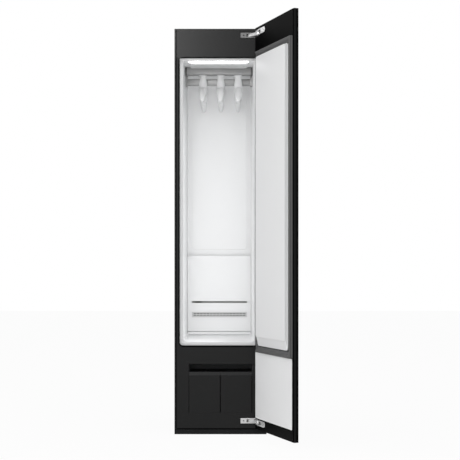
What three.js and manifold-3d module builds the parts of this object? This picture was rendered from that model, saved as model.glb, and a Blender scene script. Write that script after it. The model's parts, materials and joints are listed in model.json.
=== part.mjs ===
// Clothes care steam cabinet, door open as in use.
// Millimetres. X to the right, Y into the cabinet, Z up. The origin is the middle of the plinth's foot flange.

import * as THREE from 'three';
import { mergeVertices } from 'three/addons/utils/BufferGeometryUtils.js';
import Module from 'manifold-3d';

const wasm = await Module();
wasm.setup();

// Sizes shared by several pieces
const clearance = 0.3;
const overrun = 6;
const sheet = 1.5;
const roundSteps = 3;

const cabinet = { width: 445, height: 1960, depth: 566, raised: 23 };
const opening = { leftFrame: 25, rightFrame: 45, bottom: 428.7, head: 140.6, corner: 15 };
const plinth = { thick: 2, flange: 40 };
const foot = {
  padRadius: 18, padHeight: 6, neckRadius: 9, stemRadius: 6, fromSide: 34, fromFront: 64, fromBack: 46,
};
const sides = { lip: 14, rearLip: 16 };
const frontFrame = { thick: 2.5, lift: 6.5 };
const headFascia = { thick: 2.5 };
const topPanel = { rim: 14 };
const backPanel = { rim: 12, bead: 3, beadHeight: 26, beadInset: 110, beadPitch: 560 };
const vents = { fromSide: 72.5, width: 130, bottom: 150, rows: 6, height: 6, pitch: 16 };
const baseTray = { rim: 18 };

// The white cavity, drawn in a little towards its back, with rounded corners at its floor only
const liner = {
  wall: 2.5, lipDepth: 16, lipWidth: 14.5, topLip: 11, hidden: 8, behind: 136, draft: 8, floorRise: 12,
  corner: 15, backCorner: 12, topCorner: 4,
};
const backField = { proud: 2, sideInset: 22, overCover: 26, underCeiling: 24, corner: 16 };
const backCover = {
  proud: 22, thick: 2.5, height: 429.8, gap: 3, skirt: 9, corner: 12, bossRadius: 6, bossInset: 34,
};
const steamSlot = {
  leftInset: 45.5, rightInset: 43.5, overFloor: 176.8, height: 10, lip: 4, wall: 2, feedInset: 16,
  feedWidth: 32,
};
const filter = {
  leftInset: 45.5, rightInset: 43.5, overFloor: 102.8, height: 28, faceThick: 3, border: 4, bodyInset: 4,
  reach: 30, wall: 2, slots: 16, rows: 2, bar: 5,
};
const lamp = { sideInset: 28, front: 30, depth: 20, thick: 4, corner: 6 };
const ceilingCover = {
  sideInset: 47.5, lampGap: 15, ductGap: 5, thick: 7, corner: 14, slotPitch: 10.2, slotWidth: 6,
};
const ductBar = { depth: 48, drop: 37.4, wall: 2.5, corner: 7, portWidth: 42, portDepth: 20 };
const rail = { behindHanger: 34, depth: 16, underCeiling: 83.4, height: 34, wall: 2, corner: 5 };
const railBracket = { thick: 10, margin: 6, drop: 4, corner: 5 };
const hanger = {
  offset: 9, pitch: 88, frontGap: 28, backGap: 12, headRadius: 12, headLength: 39, neckHalfWidth: 15.5,
  neckHalfDepth: 6.5, baseHalfWidth: 23, baseHalfDepth: 15, drop: 86.4, shoulderDrop: 78, middleHalfWidth: 23,
  middleHalfHeight: 19, tipHalfWidth: 11, tipHalfHeight: 9, slots: 3, slotLength: 10, slotDepth: 5,
  slotHalfWidth: 8, tipShare: 0.55,
};

// Door, drawn closed and then carried to the open place by its two turning points
const door = {
  sideGap: 2, lift: 6.7, topGap: 2.6, gap: 8, thick: 27, skinReturn: 22, frameThick: 3, frameWall: 2,
};
const gasket = {
  width: 18, leftMargin: 1.5, rightMargin: 2.5, bottomMargin: 6.7, topMargin: 5.6, corner: 22, grooveWidth: 5,
  grooveDepth: 3,
};
const lining = {
  leftInset: 24, rightInset: 4, bottomInset: 8.3, topInset: 10, proud: 20, slope: 8, hingeSlope: 4,
  footSlope: 28, wall: 2.5, corner: 20, edge: 4,
};
const lowerLining = { side: 8, hingeGap: 7, gasketGap: 3, thick: 2, corner: 6 };

// Linked hinge: pins are placed from the cabinet's side and the door's side, the door closed
const hinge = {
  lowerZ: 65, underTop: 31, halfHeight: 15, cabinetPinInset: 83.8, cabinetPinDepth: 15.9, doorPinInset: 16.7,
  doorPinDepth: -18, doorTurn: 111, linkTurn: -26.3, pinRadius: 4, linkHalfWidth: 9, linkHalfThick: 6.6,
  webThick: 3, slotHalf: 7, linkWaistShare: 0.72, linkShoulderShare: 0.3, linkRoundShare: 0.7,
};
// Reaches to the left and right of the cabinet pin
const hingeBase = {
  leftReach: 41.7, plateReach: 31.3, rightReach: 54.3, plateFront: 1, plateThick: 2.5, depth: 32, wall: 2,
  slotReach: 12.7, webLeft: 16.7, webRight: 19.3, webDepth: 27, screwRadius: 3.2, screwReach: 26.7, corner: 5,
};
// Reaches to the left and right of the door pin
const doorPlate = {
  leftReach: 105.3, rightInset: 8.3, thick: 2.2, halfHeight: 13, slotReach: 53.8, earLeft: 15.8, earRight: 9.7,
  earDepth: 25.4, screwRadius: 3, screwReach: 87.8,
};
const hingePocket = { reach: 43.8, margin: 1.5, depth: 29, wall: 2, frameMargin: 0.6 };

// Two water tanks side by side in one bay, with a grip recess over them
const bay = {
  sideGap: 68.6, bottom: 104, top: 340, behind: 306, wall: 2, legInset: 33.9, legThick: 4, legMargin: 30,
};
const tank = {
  gap: 1.4, underTop: 39, behind: 30, wall: 2.5, frontThick: 4, lidHeight: 17, lidSlope: 8, proud: 0.5,
  corner: 5, lidRib: 6, lidRibHeight: 3, capRadius: 14, seat: 3,
};

// Machine space under and behind the cavity: places across it are shares of the cabinet's half width
const acrossShares = { fan: -0.4944, exchangerRight: -0.099, pump: 0.045, boiler: 0.5393, compressor: 0.5663 };
const compressor = {
  fromBack: 136, radius: 60, shoulder: 26, height: 190, footHeight: 10, plateHalf: 66, plateThick: 3,
  stubRadius: 5, stubHeight: 26, stubOut: 30, shoulderShare: 0.3,
};
const boiler = {
  fromBack: 248, radius: 34, length: 150, saddleWidth: 14, saddleHalf: 30, lift: 12, stubRadius: 5,
  stubHeight: 30, dome: 8, saddleShare: 0.6, stubShare: -0.5,
};
const exchanger = {
  sideGap: 17.5, fromBack: 276, depth: 102, height: 236, fins: 12, finThick: 2, plate: 3, tubeThick: 6,
  tubeWidth: 64, tubeShares: [0.25, 0.75],
};
const fan = {
  fromBack: 146, width: 96, wheelRadius: 62, hubRadius: 26, bladeDepth: 14, blades: 12, wheelWidth: 46,
  axisZ: 118, wall: 2, scrollGap: 8, outletOffset: 48, outletWidth: 66, outletTop: 212, inletRadius: 48,
  bladeThick: 1.8, disc: 3, shaftRadius: 5, motorRadius: 30, motorLength: 24, legShare: 0.7,
};
const riser = { fromBack: 120, depth: 60, wall: 2, overLiner: 2.1, headHeight: 30, spoutDepth: 36 };
const pump = {
  fromBack: 100, radius: 22, height: 70, baseHalf: 26, baseThick: 6, spoutRadius: 5, spoutLength: 18,
  collarShares: [0.55, 0.7], spoutShare: 0.84,
};
const controlBox = { riserGap: 56, fromRight: 26.5, front: 70, fromBack: 266, height: 74, wall: 2, lip: 8 };
const controlBoard = {
  inset: 6, thick: 1.6, lift: 8, partHeight: 16, partHalf: 9,
  partShares: [[0.25, 0.2], [0.7, 0.3], [0.3, 0.55], [0.75, 0.75]],
  postShares: [[0.06, 0.05], [0.94, 0.05], [0.06, 0.95], [0.94, 0.95]],
};
const inlet = {
  fromRight: 72.5, z: 96, halfWidth: 24, halfHeight: 16, depth: 26, wall: 2.5, flange: 5, flangeThick: 2,
  pinHalf: 2,
};

// Places worked out from the sizes above
const halfWidth = cabinet.width / 2;
const front = -plinth.flange / 2;
const at = (depth) => front + depth;
const back = at(cabinet.depth);
const fromBack = (distance) => back - distance;
const openLeft = -halfWidth + opening.leftFrame;
const openRight = halfWidth - opening.rightFrame;
const openMiddle = (openLeft + openRight) / 2;
const openTop = cabinet.height - opening.head;
const inner = halfWidth - sheet - clearance;
const trayTop = cabinet.raised + sheet;
const linerDepth = cabinet.depth - liner.behind;
const coverDepth = linerDepth - backCover.proud;
const linerLeft = openLeft + liner.lipWidth;
const linerRight = openRight - liner.lipWidth;
const linerFloor = opening.bottom + liner.lipWidth;
const ceiling = openTop - liner.topLip;
const cavityShare = (depth) => (depth - liner.lipDepth) / (linerDepth - liner.lipDepth);
const wallInset = (depth) => liner.draft * cavityShare(depth);
const mouthBack = at(liner.lipDepth) - clearance;
const linerRoof = ceiling + liner.wall;
const machineFloor = trayTop + clearance;
const lipFront = at(frontFrame.thick) + clearance;
const lipBack = lipFront + sheet;
const hangerDepth = (hanger.frontGap + coverDepth - hanger.backGap) / 2;
const ductFront = hangerDepth - ductBar.depth / 2;
const ductBottom = ceiling - ductBar.drop;
const railFront = hangerDepth + rail.behindHanger;
const railBottom = ceiling - rail.underCeiling;
const slotX = [openLeft + steamSlot.leftInset, openRight - steamSlot.rightInset];
const slotBottom = linerFloor + steamSlot.overFloor;
const filterX = [openLeft + filter.leftInset, openRight - filter.rightInset];
const filterBottom = linerFloor + filter.overFloor;
const upperHingeZ = cabinet.height - hinge.underTop;
const bayHalf = halfWidth - bay.sideGap;
const bayDepth = cabinet.depth - bay.behind;
const fanX = halfWidth * acrossShares.fan;
const inletX = halfWidth - inlet.fromRight;

const materials = {
  blackSteel: new THREE.MeshStandardMaterial({ color: 0x26272a, roughness: 0.45, metalness: 0.4 }),
  blackPlastic: new THREE.MeshStandardMaterial({ color: 0x2c2d30, roughness: 0.55, metalness: 0 }),
  whitePlastic: new THREE.MeshStandardMaterial({ color: 0xeceded, roughness: 0.4, metalness: 0 }),
  greyPlastic: new THREE.MeshStandardMaterial({ color: 0x9a9c9e, roughness: 0.4, metalness: 0.3 }),
  chrome: new THREE.MeshStandardMaterial({ color: 0xc9cbcd, roughness: 0.25, metalness: 1 }),
  rubber: new THREE.MeshStandardMaterial({ color: 0x6f7174, roughness: 0.8, metalness: 0 }),
  smoked: new THREE.MeshStandardMaterial({ color: 0x303236, roughness: 0.25, metalness: 0 }),
  aluminium: new THREE.MeshStandardMaterial({ color: 0xb8bbbe, roughness: 0.4, metalness: 0.9 }),
  zinc: new THREE.MeshStandardMaterial({ color: 0x8e9296, roughness: 0.5, metalness: 0.8 }),
  lens: new THREE.MeshStandardMaterial({ color: 0xf6f7f4, roughness: 0.3, metalness: 0 }),
};

// Closed geometry to a solid, turned the right way out
function solid(geometry) {
  const bare = new THREE.BufferGeometry();
  bare.setAttribute('position', geometry.getAttribute('position').clone());
  if (geometry.index) bare.setIndex(geometry.index.clone());
  const merged = mergeVertices(bare, 1e-5);
  const made = new wasm.Manifold(new wasm.Mesh({
    numProp: 3,
    vertProperties: new Float32Array(merged.getAttribute('position').array),
    triVerts: new Uint32Array(merged.index.array),
  }));
  return made;
}

function join(...solids) {
  return solids.flat().reduce((sum, one) => sum.add(one));
}

function cut(base, ...tools) {
  return tools.flat().reduce((left, tool) => left.subtract(tool), base);
}

function block(x, y, z) {
  const box = new THREE.BoxGeometry(x[1] - x[0], y[1] - y[0], z[1] - z[0]);
  box.translate((x[0] + x[1]) / 2, (y[0] + y[1]) / 2, (z[0] + z[1]) / 2);
  return solid(box);
}

// Rounded rectangle as a shape; its top corners may have a radius of their own
function rounded(u, v, radius, topRadius = radius) {
  const limit = Math.min(u[1] - u[0], v[1] - v[0]) / 2 - clearance;
  const r = Math.min(radius, limit);
  const t = Math.min(topRadius, limit);
  const shape = new THREE.Shape();
  shape.moveTo(u[0] + r, v[0]);
  shape.lineTo(u[1] - r, v[0]);
  shape.absarc(u[1] - r, v[0] + r, r, -Math.PI / 2, 0, false);
  shape.lineTo(u[1], v[1] - t);
  shape.absarc(u[1] - t, v[1] - t, t, 0, Math.PI / 2, false);
  shape.lineTo(u[0] + t, v[1]);
  shape.absarc(u[0] + t, v[1] - t, t, Math.PI / 2, Math.PI, false);
  shape.lineTo(u[0], v[0] + r);
  shape.absarc(u[0] + r, v[0] + r, r, Math.PI, Math.PI * 1.5, false);
  return shape;
}

function polygon(points) {
  return new THREE.Shape(points.map(([u, v]) => new THREE.Vector2(u, v)));
}

// A shape drawn in two axes, run along the third from one place to another
function along(axis, shape, from, to, steps = roundSteps) {
  const settings = { depth: to - from, bevelEnabled: false, curveSegments: steps };
  const run = new THREE.ExtrudeGeometry(shape, settings);
  const turn = new THREE.Matrix4();
  if (axis === 'x') {
    turn.makeBasis(new THREE.Vector3(0, 1, 0), new THREE.Vector3(0, 0, 1), new THREE.Vector3(1, 0, 0));
    run.applyMatrix4(turn).translate(from, 0, 0);
  } else if (axis === 'y') {
    run.rotateX(Math.PI / 2).translate(0, to, 0);
  } else {
    run.translate(0, 0, from);
  }
  return solid(run);
}

function rod(axis, centre, radius, from, to, sides = 20) {
  const bar = new THREE.CylinderGeometry(radius, radius, to - from, sides);
  if (axis === 'x') bar.rotateZ(-Math.PI / 2).translate((from + to) / 2, centre[0], centre[1]);
  if (axis === 'y') bar.translate(centre[0], (from + to) / 2, centre[1]);
  if (axis === 'z') bar.rotateX(Math.PI / 2).translate(centre[0], centre[1], (from + to) / 2);
  return solid(bar);
}

// Closed body through rings that have the same number of points and run the same way round
function loft(rings) {
  const count = rings[0].length;
  const middle = (ring) => ring.reduce((sum, p) => sum.add(p), new THREE.Vector3()).divideScalar(count);
  const points = rings.flat();
  const startHub = points.push(middle(rings[0])) - 1;
  const endHub = points.push(middle(rings[rings.length - 1])) - 1;
  const faces = [];
  for (let i = 0; i < count; i++) {
    const j = (i + 1) % count;
    faces.push(startHub, j, i);
    const last = (rings.length - 1) * count;
    faces.push(endHub, last + i, last + j);
    for (let k = 0; k < rings.length - 1; k++) {
      const a = k * count;
      const b = a + count;
      faces.push(a + i, a + j, b + j, a + i, b + j, b + i);
    }
  }
  const body = new THREE.BufferGeometry();
  body.setAttribute('position', new THREE.Float32BufferAttribute(points.flatMap((p) => [p.x, p.y, p.z]), 3));
  body.setIndex(faces);
  return solid(body);
}

// Rounded rectangle in X and Z at one Y, as a ring for a loft that runs towards minus Y
function ringAt(x, z, y, radius, topRadius = radius) {
  const outline = rounded(x, z, radius, topRadius).getPoints(roundSteps);
  const last = outline[outline.length - 1];
  if (last.distanceTo(outline[0]) < clearance / 100) outline.pop();
  return outline.map((p) => new THREE.Vector3(p.x, y, p.y));
}

// Oval ring square to Z or to Y
function ovalRing(axis, centre, halfX, halfOther, sides) {
  return Array.from({ length: sides }, (_, i) => {
    const angle = 2 * Math.PI * i / sides;
    const across = halfX * Math.cos(angle);
    const other = halfOther * Math.sin(angle);
    if (axis === 'z') return new THREE.Vector3(centre[0] + across, centre[1] + other, centre[2]);
    return new THREE.Vector3(centre[0] + across, centre[1], centre[2] - other);
  });
}

function mesh(name, body, material) {
  const data = body.getMesh();
  const geometry = new THREE.BufferGeometry();
  geometry.setAttribute('position', new THREE.BufferAttribute(new Float32Array(data.vertProperties), 3));
  geometry.setIndex(new THREE.BufferAttribute(new Uint32Array(data.triVerts), 1));
  geometry.computeVertexNormals();
  const made = new THREE.Mesh(geometry, material);
  made.name = name;
  return made;
}

// Folded side sheet, with a lip at the front and one at the back
function sidePanel(sign) {
  const outer = sign * halfWidth;
  const flat = outer - sign * sheet;
  const profile = polygon([
    [outer, front], [outer, back], [outer - sign * sides.rearLip, back],
    [outer - sign * sides.rearLip, back - sheet], [flat, back - sheet], [flat, lipBack],
    [outer - sign * sides.lip, lipBack], [outer - sign * sides.lip, lipFront], [flat, lipFront], [flat, front],
  ]);
  const name = sign < 0 ? 'side_panel_left' : 'side_panel_right';
  return mesh(name, along('z', profile, cabinet.raised, cabinet.height), materials.blackSteel);
}

function topSheet() {
  const y = [lipBack + clearance, back - sheet - clearance];
  const tray = block([-inner, inner], y, [cabinet.height - topPanel.rim, cabinet.height]);
  const hollow = block([-inner + sheet, inner - sheet], [y[0] + sheet, y[1] - sheet],
    [cabinet.height - topPanel.rim - overrun, cabinet.height - sheet]);
  return mesh('top_panel', cut(tray, hollow), materials.blackSteel);
}

// Back sheet with pressed beads, a vent field and the inlet's hole
function backSheet() {
  const z = [cabinet.raised + baseTray.rim + clearance, cabinet.height - topPanel.rim - clearance];
  const y = [back - 2 * sheet - clearance, back - sheet - clearance];
  const x = [-inner, inner];
  const rim = block(x, [y[0] - backPanel.rim, y[1]], z);
  const hollow = block([x[0] + sheet, x[1] - sheet], [y[0] - backPanel.rim - overrun, y[0]],
    [z[0] + sheet, z[1] - sheet]);
  const beads = Math.floor((z[1] - z[0] - 2 * backPanel.beadInset) / backPanel.beadPitch);
  const stadium = (middle, grow) => {
    const half = backPanel.beadHeight / 2 + grow;
    const reach = x[1] - backPanel.beadInset + grow;
    return rounded([-reach, reach], [middle - half, middle + half], half);
  };
  const middles = Array.from({ length: beads }, (_, i) =>
    z[1] - backPanel.beadInset - i * backPanel.beadPitch);
  const ridges = middles.map((middle) => along('y', stadium(middle, 0), y[0] - backPanel.bead, y[0]));
  const grooves = middles.map((middle) =>
    along('y', stadium(middle, -sheet), y[1] - backPanel.bead, y[1] + overrun));
  const ventX = [-halfWidth + vents.fromSide, -halfWidth + vents.fromSide + vents.width];
  const slits = Array.from({ length: vents.rows }, (_, i) => {
    const low = vents.bottom + i * vents.pitch;
    return block(ventX, [y[0] - overrun, y[1] + overrun], [low, low + vents.height]);
  });
  const holeHalf = [inlet.halfWidth + clearance, inlet.halfHeight + clearance];
  const hole = block([inletX - holeHalf[0], inletX + holeHalf[0]], [y[0] - overrun, y[1] + overrun],
    [inlet.z - holeHalf[1], inlet.z + holeHalf[1]]);
  return mesh('back_panel', cut(join(cut(rim, hollow), ridges), grooves, slits, hole), materials.zinc);
}

function tray() {
  const y = [lipBack + clearance, back - sheet - clearance];
  const x = [-inner, inner];
  const outer = block(x, y, [cabinet.raised, cabinet.raised + baseTray.rim]);
  const hollow = block([x[0] + sheet, x[1] - sheet], [y[0] + sheet, y[1] - sheet],
    [trayTop, cabinet.raised + baseTray.rim + overrun]);
  return mesh('base_tray', cut(outer, hollow), materials.zinc);
}

function kickPlate() {
  const top = cabinet.raised - clearance;
  const profile = polygon([
    [front, 0], [front + plinth.flange, 0], [front + plinth.flange, plinth.thick],
    [front + plinth.thick, plinth.thick], [front + plinth.thick, top - plinth.thick],
    [front + plinth.flange / 2, top - plinth.thick], [front + plinth.flange / 2, top], [front, top],
  ]);
  return mesh('plinth', along('x', profile, -halfWidth, halfWidth), materials.blackPlastic);
}

function levelFoot(name, x, y) {
  const top = cabinet.raised - clearance;
  const outline = [
    [0, 0], [foot.padRadius, 0], [foot.padRadius, foot.padHeight / 2], [foot.neckRadius, foot.padHeight],
    [foot.stemRadius, foot.padHeight], [foot.stemRadius, top], [0, top],
  ].map(([r, z]) => new THREE.Vector2(r, z));
  const turned = new THREE.LatheGeometry(outline, 12).rotateX(Math.PI / 2);
  const made = mesh(name, solid(turned), materials.rubber);
  made.position.set(x, y, 0);
  return made;
}

// Cut that lets a hinge through a front piece, around one hinge height
function hingeWindow(z, x, y) {
  const half = hinge.halfHeight + hingePocket.frameMargin;
  return block(x, y, [z - half, z + half]);
}

const pinX = halfWidth - hinge.cabinetPinInset;
const baseWindowX = [
  pinX - hingeBase.leftReach - hingePocket.frameMargin, pinX + hingeBase.rightReach + hingePocket.frameMargin,
];

function frameFront() {
  const y = [front, at(frontFrame.thick)];
  const z = [cabinet.raised + frontFrame.lift, openTop - clearance];
  const plate = block([-inner, inner], y, z);
  const rimShape = rounded([openLeft - frontFrame.thick, openRight + frontFrame.thick],
    [opening.bottom - frontFrame.thick, openTop + opening.corner], opening.corner + frontFrame.thick);
  const rim = cut(along('y', rimShape, at(frontFrame.thick), mouthBack),
    block([-halfWidth, halfWidth], [front, back], [z[1], cabinet.height]));
  const holeShape = rounded([openLeft, openRight], [opening.bottom, openTop + 2 * opening.corner],
    opening.corner);
  const hole = along('y', holeShape, front - overrun, mouthBack + overrun);
  const bayHole = block([-bayHalf, bayHalf], [front - overrun, at(frontFrame.thick) + overrun],
    [bay.bottom, bay.top]);
  const window = hingeWindow(hinge.lowerZ, baseWindowX, [front - overrun, at(frontFrame.thick) + overrun]);
  return mesh('front_frame', cut(join(plate, rim), hole, bayHole, window), materials.blackPlastic);
}

function fasciaHead() {
  const plate = block([-inner, inner], [front, at(headFascia.thick)], [openTop, cabinet.height]);
  const foldedEdge = block([openLeft, openRight], [front, mouthBack], [openTop, openTop + sheet]);
  const window = hingeWindow(upperHingeZ, baseWindowX, [front - overrun, at(headFascia.thick) + overrun]);
  return mesh('head_fascia', cut(join(plate, foldedEdge), window), materials.blackPlastic);
}

// Rings of the cavity, the rear one first; grow is how far outside the inner face they lie
function cavityRings(grow, depths) {
  return depths.map((depth) => {
    const share = cavityShare(depth);
    const inset = wallInset(depth) - grow;
    const radius = liner.corner + (liner.backCorner - liner.corner) * share + grow;
    const z = [linerFloor + liner.floorRise * share - grow, ceiling + grow];
    return ringAt([linerLeft + inset, linerRight - inset], z, at(depth), radius, liner.topCorner + grow);
  });
}

// What lies in the cavity is trimmed to its rounded walls with the usual clearance
function fitted(body) {
  return body.intersect(loft(cavityRings(-clearance, [linerDepth - clearance, liner.lipDepth])));
}

const steamFeedX = [slotX[0] + steamSlot.feedInset, slotX[0] + steamSlot.feedInset + steamSlot.feedWidth];

function moulding() {
  const shell = loft(cavityRings(liner.wall, [linerDepth - clearance, liner.lipDepth]));
  const flangeShape = rounded([openLeft - liner.hidden, openRight + liner.hidden],
    [opening.bottom - liner.hidden, openTop + liner.hidden], liner.corner, liner.topCorner);
  const flange = along('y', flangeShape, at(liner.lipDepth), at(liner.lipDepth + liner.wall));
  const hollow = loft(cavityRings(0, [linerDepth + overrun, liner.lipDepth - overrun]));
  const spout = spoutSpan(clearance);
  const spoutHole = block(spout.x, spout.y, [ceiling - overrun, linerRoof + overrun]);
  return mesh('cavity_liner', cut(join(shell, flange), hollow, spoutHole), materials.whitePlastic);
}

// Back wall against the liner's rear edge, with a raised field over the lower cover
function backWall() {
  const w = liner.wall;
  const inset = liner.draft - w;
  const x = [linerLeft + inset, linerRight - inset];
  const z = [linerFloor + liner.floorRise - w, linerRoof];
  const y = at(linerDepth);
  const plate = along('y', rounded(x, z, liner.backCorner + w, liner.topCorner + w), y, y + w);
  const f = backField;
  const fieldShape = rounded([linerLeft + f.sideInset + liner.draft, linerRight - f.sideInset - liner.draft],
    [linerFloor + backCover.height + f.overCover, ceiling - f.underCeiling], f.corner);
  const field = along('y', fieldShape, y - f.proud, y + w / 2);
  const through = [y - overrun, y + w + overrun];
  const steamHole = block(steamFeedX, through, [slotBottom, slotBottom + steamSlot.height]);
  const i = filter.bodyInset - clearance;
  const filterHole = block([filterX[0] + i, filterX[1] - i], through,
    [filterBottom + i, filterBottom + filter.height - i]);
  return mesh('cavity_back', cut(join(plate, field), steamHole, filterHole), materials.whitePlastic);
}

// Box panel that stands out from the back wall, with the steam slot and the filter's window
function coverLowerBack() {
  const inset = liner.draft + backCover.gap;
  const x = [linerLeft + inset, linerRight - inset];
  const z = [linerFloor + liner.floorRise + backCover.gap, linerFloor + backCover.height];
  const y = at(coverDepth);
  const outer = along('y', rounded(x, z, backCover.corner), y, y + backCover.skirt);
  const t = backCover.thick;
  const hollow = along('y', rounded([x[0] + t, x[1] - t], [z[0] + t, z[1] - t], backCover.corner - t),
    y + t, y + backCover.skirt + overrun);
  const bosses = [x[0] + backCover.bossInset, x[1] - backCover.bossInset].flatMap((bossX) =>
    [z[0] + backCover.bossInset, z[1] - backCover.bossInset].map((bossZ) =>
      rod('y', [bossX, bossZ], backCover.bossRadius, y + t / 2, at(linerDepth) - clearance, 12)));
  const slit = block(slotX, [y - overrun, y + t + overrun], [slotBottom, slotBottom + steamSlot.height]);
  const i = filter.bodyInset - clearance;
  const window = block([filterX[0] + i, filterX[1] - i], [y - overrun, y + t + overrun],
    [filterBottom + i, filterBottom + filter.height - i]);
  const panel = cut(join(cut(outer, hollow), bosses), slit, window);
  return mesh('lower_back_cover', fitted(panel), materials.whitePlastic);
}

// Trough behind the slot that spreads the steam over the width
function steamTrough() {
  const y = [at(coverDepth + backCover.thick) + clearance, at(linerDepth) - clearance];
  const z = [slotBottom - steamSlot.lip, slotBottom + steamSlot.height + steamSlot.lip];
  const w = steamSlot.wall;
  const outer = block(slotX, y, z);
  const hollow = block([slotX[0] + w, slotX[1] - w], [y[0] - overrun, y[1] - w], [z[0] + w, z[1] - w]);
  const feed = block(steamFeedX, [y[1] - w - overrun, y[1] + overrun],
    [slotBottom, slotBottom + steamSlot.height]);
  return mesh('steam_outlet', cut(outer, hollow, feed), materials.greyPlastic);
}

// Filter cassette with a slotted face that is pulled straight out
function lintCassette() {
  const y = at(coverDepth) - clearance;
  const x = filterX;
  const z = [filterBottom, filterBottom + filter.height];
  const face = block(x, [y - filter.faceThick, y], z);
  const i = filter.bodyInset;
  const w = filter.wall;
  const body = block([x[0] + i, x[1] - i], [y - filter.faceThick / 2, y + filter.reach], [z[0] + i, z[1] - i]);
  const hollow = block([x[0] + i + w, x[1] - i - w], [y, y + filter.reach + overrun],
    [z[0] + i + w, z[1] - i - w]);
  const pitch = (x[1] - x[0] - 2 * filter.border - 2 * w) / filter.slots;
  const rowHeight = (filter.height - 2 * filter.border - 2 * w - filter.bar) / filter.rows;
  const slots = Array.from({ length: filter.slots * filter.rows }, (_, n) => {
    const left = x[0] + filter.border + w + (n % filter.slots) * pitch;
    const low = z[0] + filter.border + w + Math.floor(n / filter.slots) * (rowHeight + filter.bar);
    return block([left + filter.bar / 2, left + pitch - filter.bar / 2],
      [y - filter.faceThick - overrun, y + overrun], [low, low + rowHeight]);
  });
  return mesh('lint_filter', cut(join(face, body), hollow, slots), materials.greyPlastic);
}

function lampLens() {
  const shape = rounded([linerLeft + lamp.sideInset, linerRight - lamp.sideInset],
    [at(lamp.front), at(lamp.front + lamp.depth)], lamp.corner);
  const top = ceiling - clearance;
  return mesh('lamp_lens', along('z', shape, top - lamp.thick, top), materials.lens);
}

function coverCeiling() {
  const x = [openLeft + ceilingCover.sideInset, openRight - ceilingCover.sideInset];
  const y = [at(lamp.front + lamp.depth + ceilingCover.lampGap), at(ductFront - ceilingCover.ductGap)];
  const z = [ceiling - clearance - ceilingCover.thick, ceiling - clearance];
  const plate = along('z', rounded(x, y, ceilingCover.corner), z[0], z[1]);
  const count = Math.floor((y[1] - y[0] - 2 * ceilingCover.corner) / ceilingCover.slotPitch);
  const slots = Array.from({ length: count }, (_, n) => {
    const near = y[0] + ceilingCover.corner + n * ceilingCover.slotPitch;
    return block([x[0] + ceilingCover.corner, x[1] - ceilingCover.corner],
      [near, near + ceilingCover.slotWidth], [z[0] - overrun, z[0] + ceilingCover.thick / 2]);
  });
  return mesh('ceiling_cover', cut(plate, slots), materials.whitePlastic);
}

const hangerX = [-1, 0, 1].map((n) => openMiddle + hanger.offset + n * hanger.pitch);
const hangerPivotZ = ductBottom + ductBar.wall + clearance
  + Math.sqrt(hanger.headRadius ** 2 - (ductBar.portDepth / 2) ** 2);
const outletSpan = [fanX + fan.outletOffset, fanX + fan.outletOffset + fan.outletWidth];

function spoutSpan(grow) {
  const half = riser.spoutDepth / 2 + grow;
  return {
    x: [outletSpan[0] - grow, outletSpan[1] + grow],
    y: [at(hangerDepth) - half, at(hangerDepth) + half],
  };
}

// Hollow bar across the ceiling that feeds air to the hangers through ports in its underside
function barDuct() {
  const inset = wallInset(ductFront + ductBar.depth) + clearance;
  const x = [linerLeft + inset, linerRight - inset];
  const y = [at(ductFront), at(ductFront + ductBar.depth)];
  const z = [ductBottom, ceiling - clearance];
  const w = ductBar.wall;
  const outer = along('x', rounded(y, z, ductBar.corner), x[0], x[1]);
  const bore = along('x', rounded([y[0] + w, y[1] - w], [z[0] + w, z[1] - w], ductBar.corner - w),
    x[0] - overrun, x[1] + overrun);
  const spout = spoutSpan(0);
  const feed = block(spout.x, spout.y, [z[1] - w - overrun, z[1] + overrun]);
  const ports = hangerX.map((middle) => block([middle - ductBar.portWidth / 2, middle + ductBar.portWidth / 2],
    [at(hangerDepth - ductBar.portDepth / 2), at(hangerDepth + ductBar.portDepth / 2)],
    [z[0] - overrun, z[0] + w + clearance]));
  return mesh('duct_bar', fitted(cut(outer, bore, feed, ports)), materials.greyPlastic);
}

const bracketBack = railFront + rail.depth + railBracket.margin;
const bracketInset = wallInset(bracketBack) + clearance;
const bracketX = [linerLeft + bracketInset, linerRight - bracketInset];

function rodRail() {
  const x = [bracketX[0] + railBracket.thick + clearance, bracketX[1] - railBracket.thick - clearance];
  const y = [at(railFront), at(railFront + rail.depth)];
  const z = [railBottom, railBottom + rail.height];
  const outer = along('x', rounded(y, z, rail.corner), x[0], x[1]);
  const bore = along('x', rounded([y[0] + rail.wall, y[1] - rail.wall], [z[0] + rail.wall, z[1] - rail.wall],
    rail.corner - rail.wall), x[0] - overrun, x[1] + overrun);
  return mesh('hanger_rail', cut(outer, bore), materials.greyPlastic);
}

function bracketRail(sign) {
  const outside = sign < 0 ? bracketX[0] : bracketX[1];
  const inside = outside - sign * railBracket.thick;
  const x = [Math.min(outside, inside), Math.max(outside, inside)];
  const y = [at(railFront - railBracket.margin), at(bracketBack)];
  const z = [railBottom - railBracket.drop, ceiling - clearance];
  const name = sign < 0 ? 'rail_bracket_left' : 'rail_bracket_right';
  return mesh(name, fitted(along('x', rounded(y, z, railBracket.corner), x[0], x[1])), materials.greyPlastic);
}

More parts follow.
